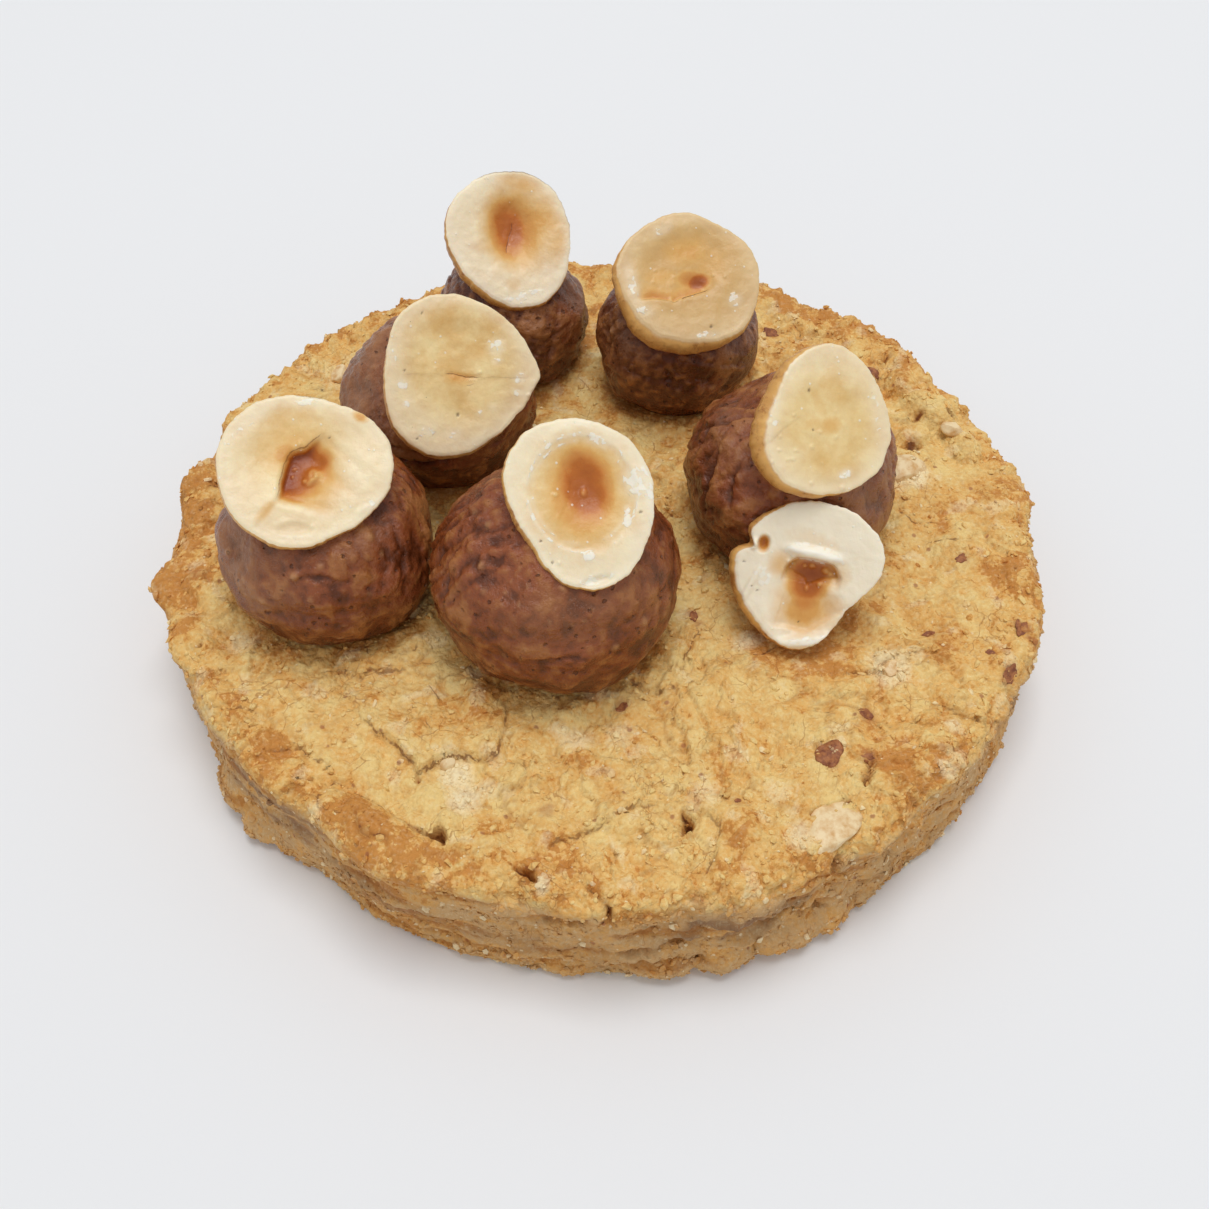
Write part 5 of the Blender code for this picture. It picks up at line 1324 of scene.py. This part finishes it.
def hazelnut_half(name, seed):
    """One half in its place, with its hollow, ledges, cracks, crumbs and flaky rim."""
    half = {**dict.fromkeys(("corners", "bumps", "lines", "crumbs", "rings", "nicks"), ()), **HAZELNUTS[name]}
    x, y = disc_grid(NUT_STEPS)
    rim = grid_rim(NUT_STEPS)
    rows = [0.012] + [math.sin(math.pi / 2 * min(step / NUT_ROWS, 0.985)) for step in range(1, NUT_ROWS + 1)]
    angle = np.arctan2(y, x)
    angle = np.append(angle, np.tile(angle[rim], len(rows)))
    share = np.append(np.hypot(x, y), np.ones(len(rows) * len(rim)))
    down = np.append(np.zeros(len(x)), np.repeat(rows, len(rim)))
    on_face, back, degrees = down == 0, down > 0, np.degrees(angle)

    # The outline, the round back and the face, which waves a little and rounds off at its edge
    reach = half["radius"] + np.zeros(len(angle))
    for count, amount, first in half["lobes"]:
        reach += amount * np.cos(count * np.radians(degrees - first))
    for direction, amount, spread in half["corners"]:
        reach += amount * np.exp(-((turn_from(degrees, direction) / spread) ** 2))
    ragged = np.stack([np.cos(angle) * 9, np.sin(angle) * 9, np.full(len(angle), seed * 5.0)], 1)
    reach += 0.16 * lumps(ragged, 2.6) + 0.08 * lumps(ragged, 0.9) + 0.05 * lumps(ragged, 0.45)
    belly = (1 - down**BELLY_FULLNESS) ** (1 / BELLY_FULLNESS)
    direction, amount = half["swell"]
    toward = 0.5 + 0.5 * np.cos(np.radians(degrees - direction))
    belly_reach = reach * belly + amount * toward**2.5 * np.sin(np.pi * down**0.55)
    radius = np.where(on_face, reach * share, belly_reach)
    x, y = radius * np.cos(angle), radius * np.sin(angle)
    edge = np.clip((share - ROUNDED_FROM) / (1 - ROUNDED_FROM), 0, 1)
    z = -FACE_ROUNDING * np.where(on_face, 1 - np.sqrt(1 - edge**2 * 0.98), 0.86)
    z -= down * (half["depth"] - FACE_ROUNDING)
    here = np.stack([x, y, z + seed * 31.0], 1)
    wave = 0.20 * lumps(here, 4.0) + 0.06 * lumps(here, 1.4) + 0.04 * lumps(here, 0.7)
    z += on_face * wave * (0.3 + 0.7 * ease((1 - share) / 0.12))

    # What the knife and the oven left on the face
    for *shape, deep, sharpness in half["hollows"]:
        z -= on_face * deep * spot(x, y, *shape, sharpness)
    toasted = strongest(x, y, half["toasted"], 1.5)
    jagged = np.stack([x, y], 1) + 0.07 * sway(here, 0.9, (3.0, 8.0))
    for deep, wall, span, brown, route in half["ledges"]:
        distance, along, side = to_route(jagged, route)
        low = ease((side * distance + 0.06) / wall) * ease(np.minimum(along, 1 - along) / 0.26)
        low *= np.exp(-((distance / span) ** 1.8)) * on_face
        z -= deep * low
        toasted = np.maximum(toasted, brown * low)
    line_side, line_dark = near_lines(jagged, half["lines"])
    line_dark = line_dark * on_face
    z -= LINE_DEPTH * ease(1 - np.abs(line_side - 0.5) * LINE_SPAN / 0.28) * line_dark
    for *shape, high in half["bumps"]:
        z += on_face * high * spot(x, y, *shape, 2.0)
    chalky = 0.8 * strongest(x, y, half["chalky"], 1.4)
    rough = 0.8 + 0.5 * lumps(here, 0.35)
    for *shape, high in half["crumbs"]:
        crumb = rough * spot(x, y, *shape, 2.0)
        z += on_face * high * crumb
        toasted = toasted * (1 - 0.32 * np.clip(crumb, 0, 1))
        chalky = np.maximum(chalky, 0.07 * crumb)
    for *shape, amount in half["rings"]:
        inward = np.log(np.maximum(spot(x, y, *shape), 1e-9))
        ring = amount * np.exp(-(((inward + 1) / 0.09) ** 2)) * ease((lumps(here, 1.6, 2.0) + 0.25) / 0.3)
        z += HEART_EDGE * ring * on_face
        chalky = np.maximum(chalky, 0.55 * ring)
    nick = np.zeros(len(x))
    for across, along, size in half["nicks"]:
        nick = np.maximum(nick, 0.8 * spot(x, y, across, along, 0.8 * size, 0.8 * size, 0, 2.0))
    z -= NICK_DEPTH * nick * on_face

    # The half is turned to face its way and put in its place
    grow = 1 + (0.14 * lumps(here, 3.0) + 0.05 * lumps(here, 1.0)) / 7.0 * ease(down / 0.2)
    elevation, direction = half["faces"]
    tilt = math.radians(90 - elevation)
    lean = np.array([[1, 0, 0], [0, math.cos(tilt), -math.sin(tilt)], [0, math.sin(tilt), math.cos(tilt)]])
    places = np.stack([x * grow, y * grow, z], 1) @ (about_z(direction + 90) @ lean).T + half["middle"]
    mesh = grid_with_skirt("hazelnut_" + name, NUT_STEPS, places + RING_MIDDLE)
    rim_line = back * np.exp(-((down / 0.10) ** 2)) * ease((lumps(ragged, 3.0, 4.0) + 0.4) / 0.5)
    heart = spot(x, y, *half["heart"]) * on_face
    paint(
        mesh, toasted=np.maximum(toasted * on_face, 0.40 * rim_line), chalky=chalky * on_face,
        nick=nick * on_face, back=ease(down / 0.011), line_side=line_side, line_dark=line_dark,
        ivory=half["ivory"] + 0.22 - 0.45 * heart + 0.14 * ease((share - 0.80) / 0.15),
        roasted=half["roasted"] * (0.55 + 0.45 * heart),
    )
    return mesh


# Blanched hazelnut: cream flesh, waxy and slightly see-through, golden to caramel where the germ roasted,
# chalk-white where the cut dried and flaked, gold on the round back. Fine pale grains cling to the cut.
CREAM = linear("#F6DCA0")
CREAM_DEEP = linear("#E4BE7A")
IVORY = linear("#FFF4DC")
ROASTED_FLESH = linear("#D2A565")
GOLD = linear("#E6B465")
ORANGE = linear("#CC7828")
CARAMEL = linear("#97430B")
CHALK = linear("#FFFAEA")
GOLDEN_BACK = linear("#D29C54")
BACK_BROWN = linear("#9C5F28")
LINE_BROWN = linear("#763813")
SPECK_BROWN = linear("#5E4226")
FLESH_CLOUD = 3.2
FIBRE = 0.45
CHIP = 0.50
CHIP_RAGGED = 0.5
CHIP_RELIEF = 0.08
FLESH_RELIEF = 0.12
# How far light goes into the flesh
LIGHT_DEPTH = 1.1
# Pale grains and dark specks: how far apart, how large, and how much of the face has none
GRAINS = (0.95, 0.15, 0.60)
SPECKS = (2.4, 0.026, 0.55)
LINE_HALF_WIDTH = 0.055

kernel, tree, shader, coordinates, layer = new_material("blanched hazelnut", (
    "toasted", "chalky", "nick", "back", "ivory", "roasted", "line_side", "line_dark",
))
cloud, flesh = (
    add_node(tree, "TexNoise", {
        "Vector": coordinates, "Scale": 1 / (size * MM), "Detail": fine, "Roughness": 0.65,
    }) for size, fine in ((FLESH_CLOUD, 6.0), (FIBRE, 4.0))
)
clouded = add_node(tree, "MapRange", (cloud, 0.36, 0.66))
pale = add_node(tree, "Math", (layer["ivory"], 0.9), operation="MULTIPLY")
browned = add_node(tree, "Math", (cloud, flesh), operation="ADD")
browned = add_node(tree, "MapRange", (browned, 0.96, 1.16, 0.0, 0.8))
round_back = add_node(tree, "Mix", {0: browned, 6: GOLDEN_BACK, 7: BACK_BROWN}, 2, data_type="RGBA")
uneven = add_node(tree, "MapRange", (cloud, 0.30, 0.70, -0.08, 0.08))
browning = add_node(tree, "Math", (layer["toasted"], uneven), operation="ADD")
roast = [
    (add_node(tree, "MapRange", (browning, empty, full)), tint)
    for tint, empty, full in ((GOLD, 0.06, 0.42), (ORANGE, 0.36, 0.70), (CARAMEL, 0.62, 1.0))
]
whitened = add_node(tree, "Math", (layer["chalky"], 0.75), operation="MULTIPLY")
torn = (flesh.node.outputs["Color"], (CHIP_RAGGED * MM,) * 3, coordinates)
torn = add_node(tree, "VectorMath", torn, operation="MULTIPLY_ADD")
chip = add_node(tree, "TexVoronoi", {"Vector": torn, "Scale": 1 / (CHIP * MM)}, "Color")
chip = add_node(tree, "Math", (layer["chalky"], chip), operation="ADD")
chip = add_node(tree, "MapRange", (chip, 1.0, 1.06, 0.0, 0.7))
cut_face = add_node(tree, "Math", (1.0, layer["back"]), operation="SUBTRACT")
marks = []
for spacing, size, rare in (GRAINS, SPECKS):
    cell = add_node(tree, "TexVoronoi", {"Vector": coordinates, "Scale": 1 / (spacing * MM)})
    mark = add_node(tree, "MapRange", (cell, size, 0.6 * size))
    chosen = add_node(tree, "MapRange", (cell.node.outputs["Color"], rare, rare + 0.02, 0.0, 0.55))
    for limit in (chosen, cut_face):
        mark = add_node(tree, "Math", (mark, limit), operation="MULTIPLY")
    marks.append(mark)
grain, speck = marks
line = thin_line(tree, coordinates, layer, LINE_HALF_WIDTH)
colour = CREAM
for share, tint in (
    (clouded, CREAM_DEEP), (pale, IVORY), (layer["roasted"], ROASTED_FLESH), (layer["back"], round_back),
    *roast, (whitened, IVORY), (chip, CHALK), (grain, CHALK), (speck, SPECK_BROWN),
    (layer["nick"], SPECK_BROWN), (line, LINE_BROWN),
):
    colour = add_node(tree, "Mix", {0: share, 6: colour, 7: tint}, 2, data_type="RGBA")
raised = add_node(tree, "Math", (chip, grain), operation="ADD")
bump = add_node(tree, "Bump", {"Height": raised, "Strength": 0.7, "Distance": CHIP_RELIEF * MM})
bump = add_node(tree, "Bump", {
    "Height": flesh, "Strength": 0.5, "Distance": FLESH_RELIEF * MM, "Normal": bump,
})
connect(shader, {
    "Base Color": colour, "Roughness": 0.36, "IOR": 1.47, "Subsurface Weight": 0.20,
    "Subsurface Radius": (1.0, 0.72, 0.42), "Subsurface Scale": LIGHT_DEPTH * MM, "Normal": bump,
})

for seed, name in enumerate(HAZELNUTS, start=1):
    add_piece("hazelnut_half_" + name, hazelnut_half(name, seed), kernel, ("hazelnut_" + name,))

# The table is a sheet of pale grey card, which runs on past the view
floor_mesh = bpy.data.meshes.new("table")
floor_mesh.from_pydata([(-2, -2, 0), (2, -2, 0), (2, 2, 0), (-2, 2, 0)], [], [(0, 1, 2, 3)])
table = bpy.data.objects.new("table", floor_mesh)
bpy.context.scene.collection.objects.link(table)
card, _, shader, *_ = new_material("matt pale card")
connect(shader, {"Base Color": linear("#EDEEEE"), "Roughness": 0.85})
floor_mesh.materials.append(card)

# Soft daylight from a wide panel overhead, and the glow of a white room all round
world = bpy.data.worlds.new("white room")
bpy.context.scene.world = world
world.use_nodes = True
connect(world.node_tree.nodes["Background"], {"Color": linear("#F8F9FC"), "Strength": 0.59})
light = bpy.data.lights.new("panel", "AREA")
light.size = 0.60
light.energy = 6.7
light.color = linear("#FDFDFF")[:3]
lamp = bpy.data.objects.new("panel", light)
lamp.location = (0.04, 0.10, 1.20)
lamp.rotation_euler = (Vector((0.0, 0.0, 0.01)) - lamp.location).to_track_quat("-Z", "Y").to_euler()
bpy.context.scene.collection.objects.link(lamp)
bpy.context.scene.view_settings.view_transform = "Standard"

# The camera looks down at the front at 50.5 degrees, from 146 mm in front of the middle of the biscuit
CAMERA_FALL = math.radians(50.5)
CAMERA_AWAY = 146.1
FOCUS_PIXELS = 1300
PICTURE_PIXELS = 1209
camera = bpy.data.cameras.new("camera")
camera.sensor_width = 36
camera.lens = FOCUS_PIXELS / PICTURE_PIXELS * camera.sensor_width
camera.clip_start = 0.005
eye = bpy.data.objects.new("camera", camera)
aim = np.array([-0.1, -1.3, 0.0]) + RING_MIDDLE
back = np.array([0.0, -math.cos(CAMERA_FALL), math.sin(CAMERA_FALL)])
eye.location = (aim + back * CAMERA_AWAY) * MM
eye.rotation_euler = (math.pi / 2 - CAMERA_FALL, 0.0, 0.0)
bpy.context.scene.collection.objects.link(eye)
bpy.context.scene.camera = eye
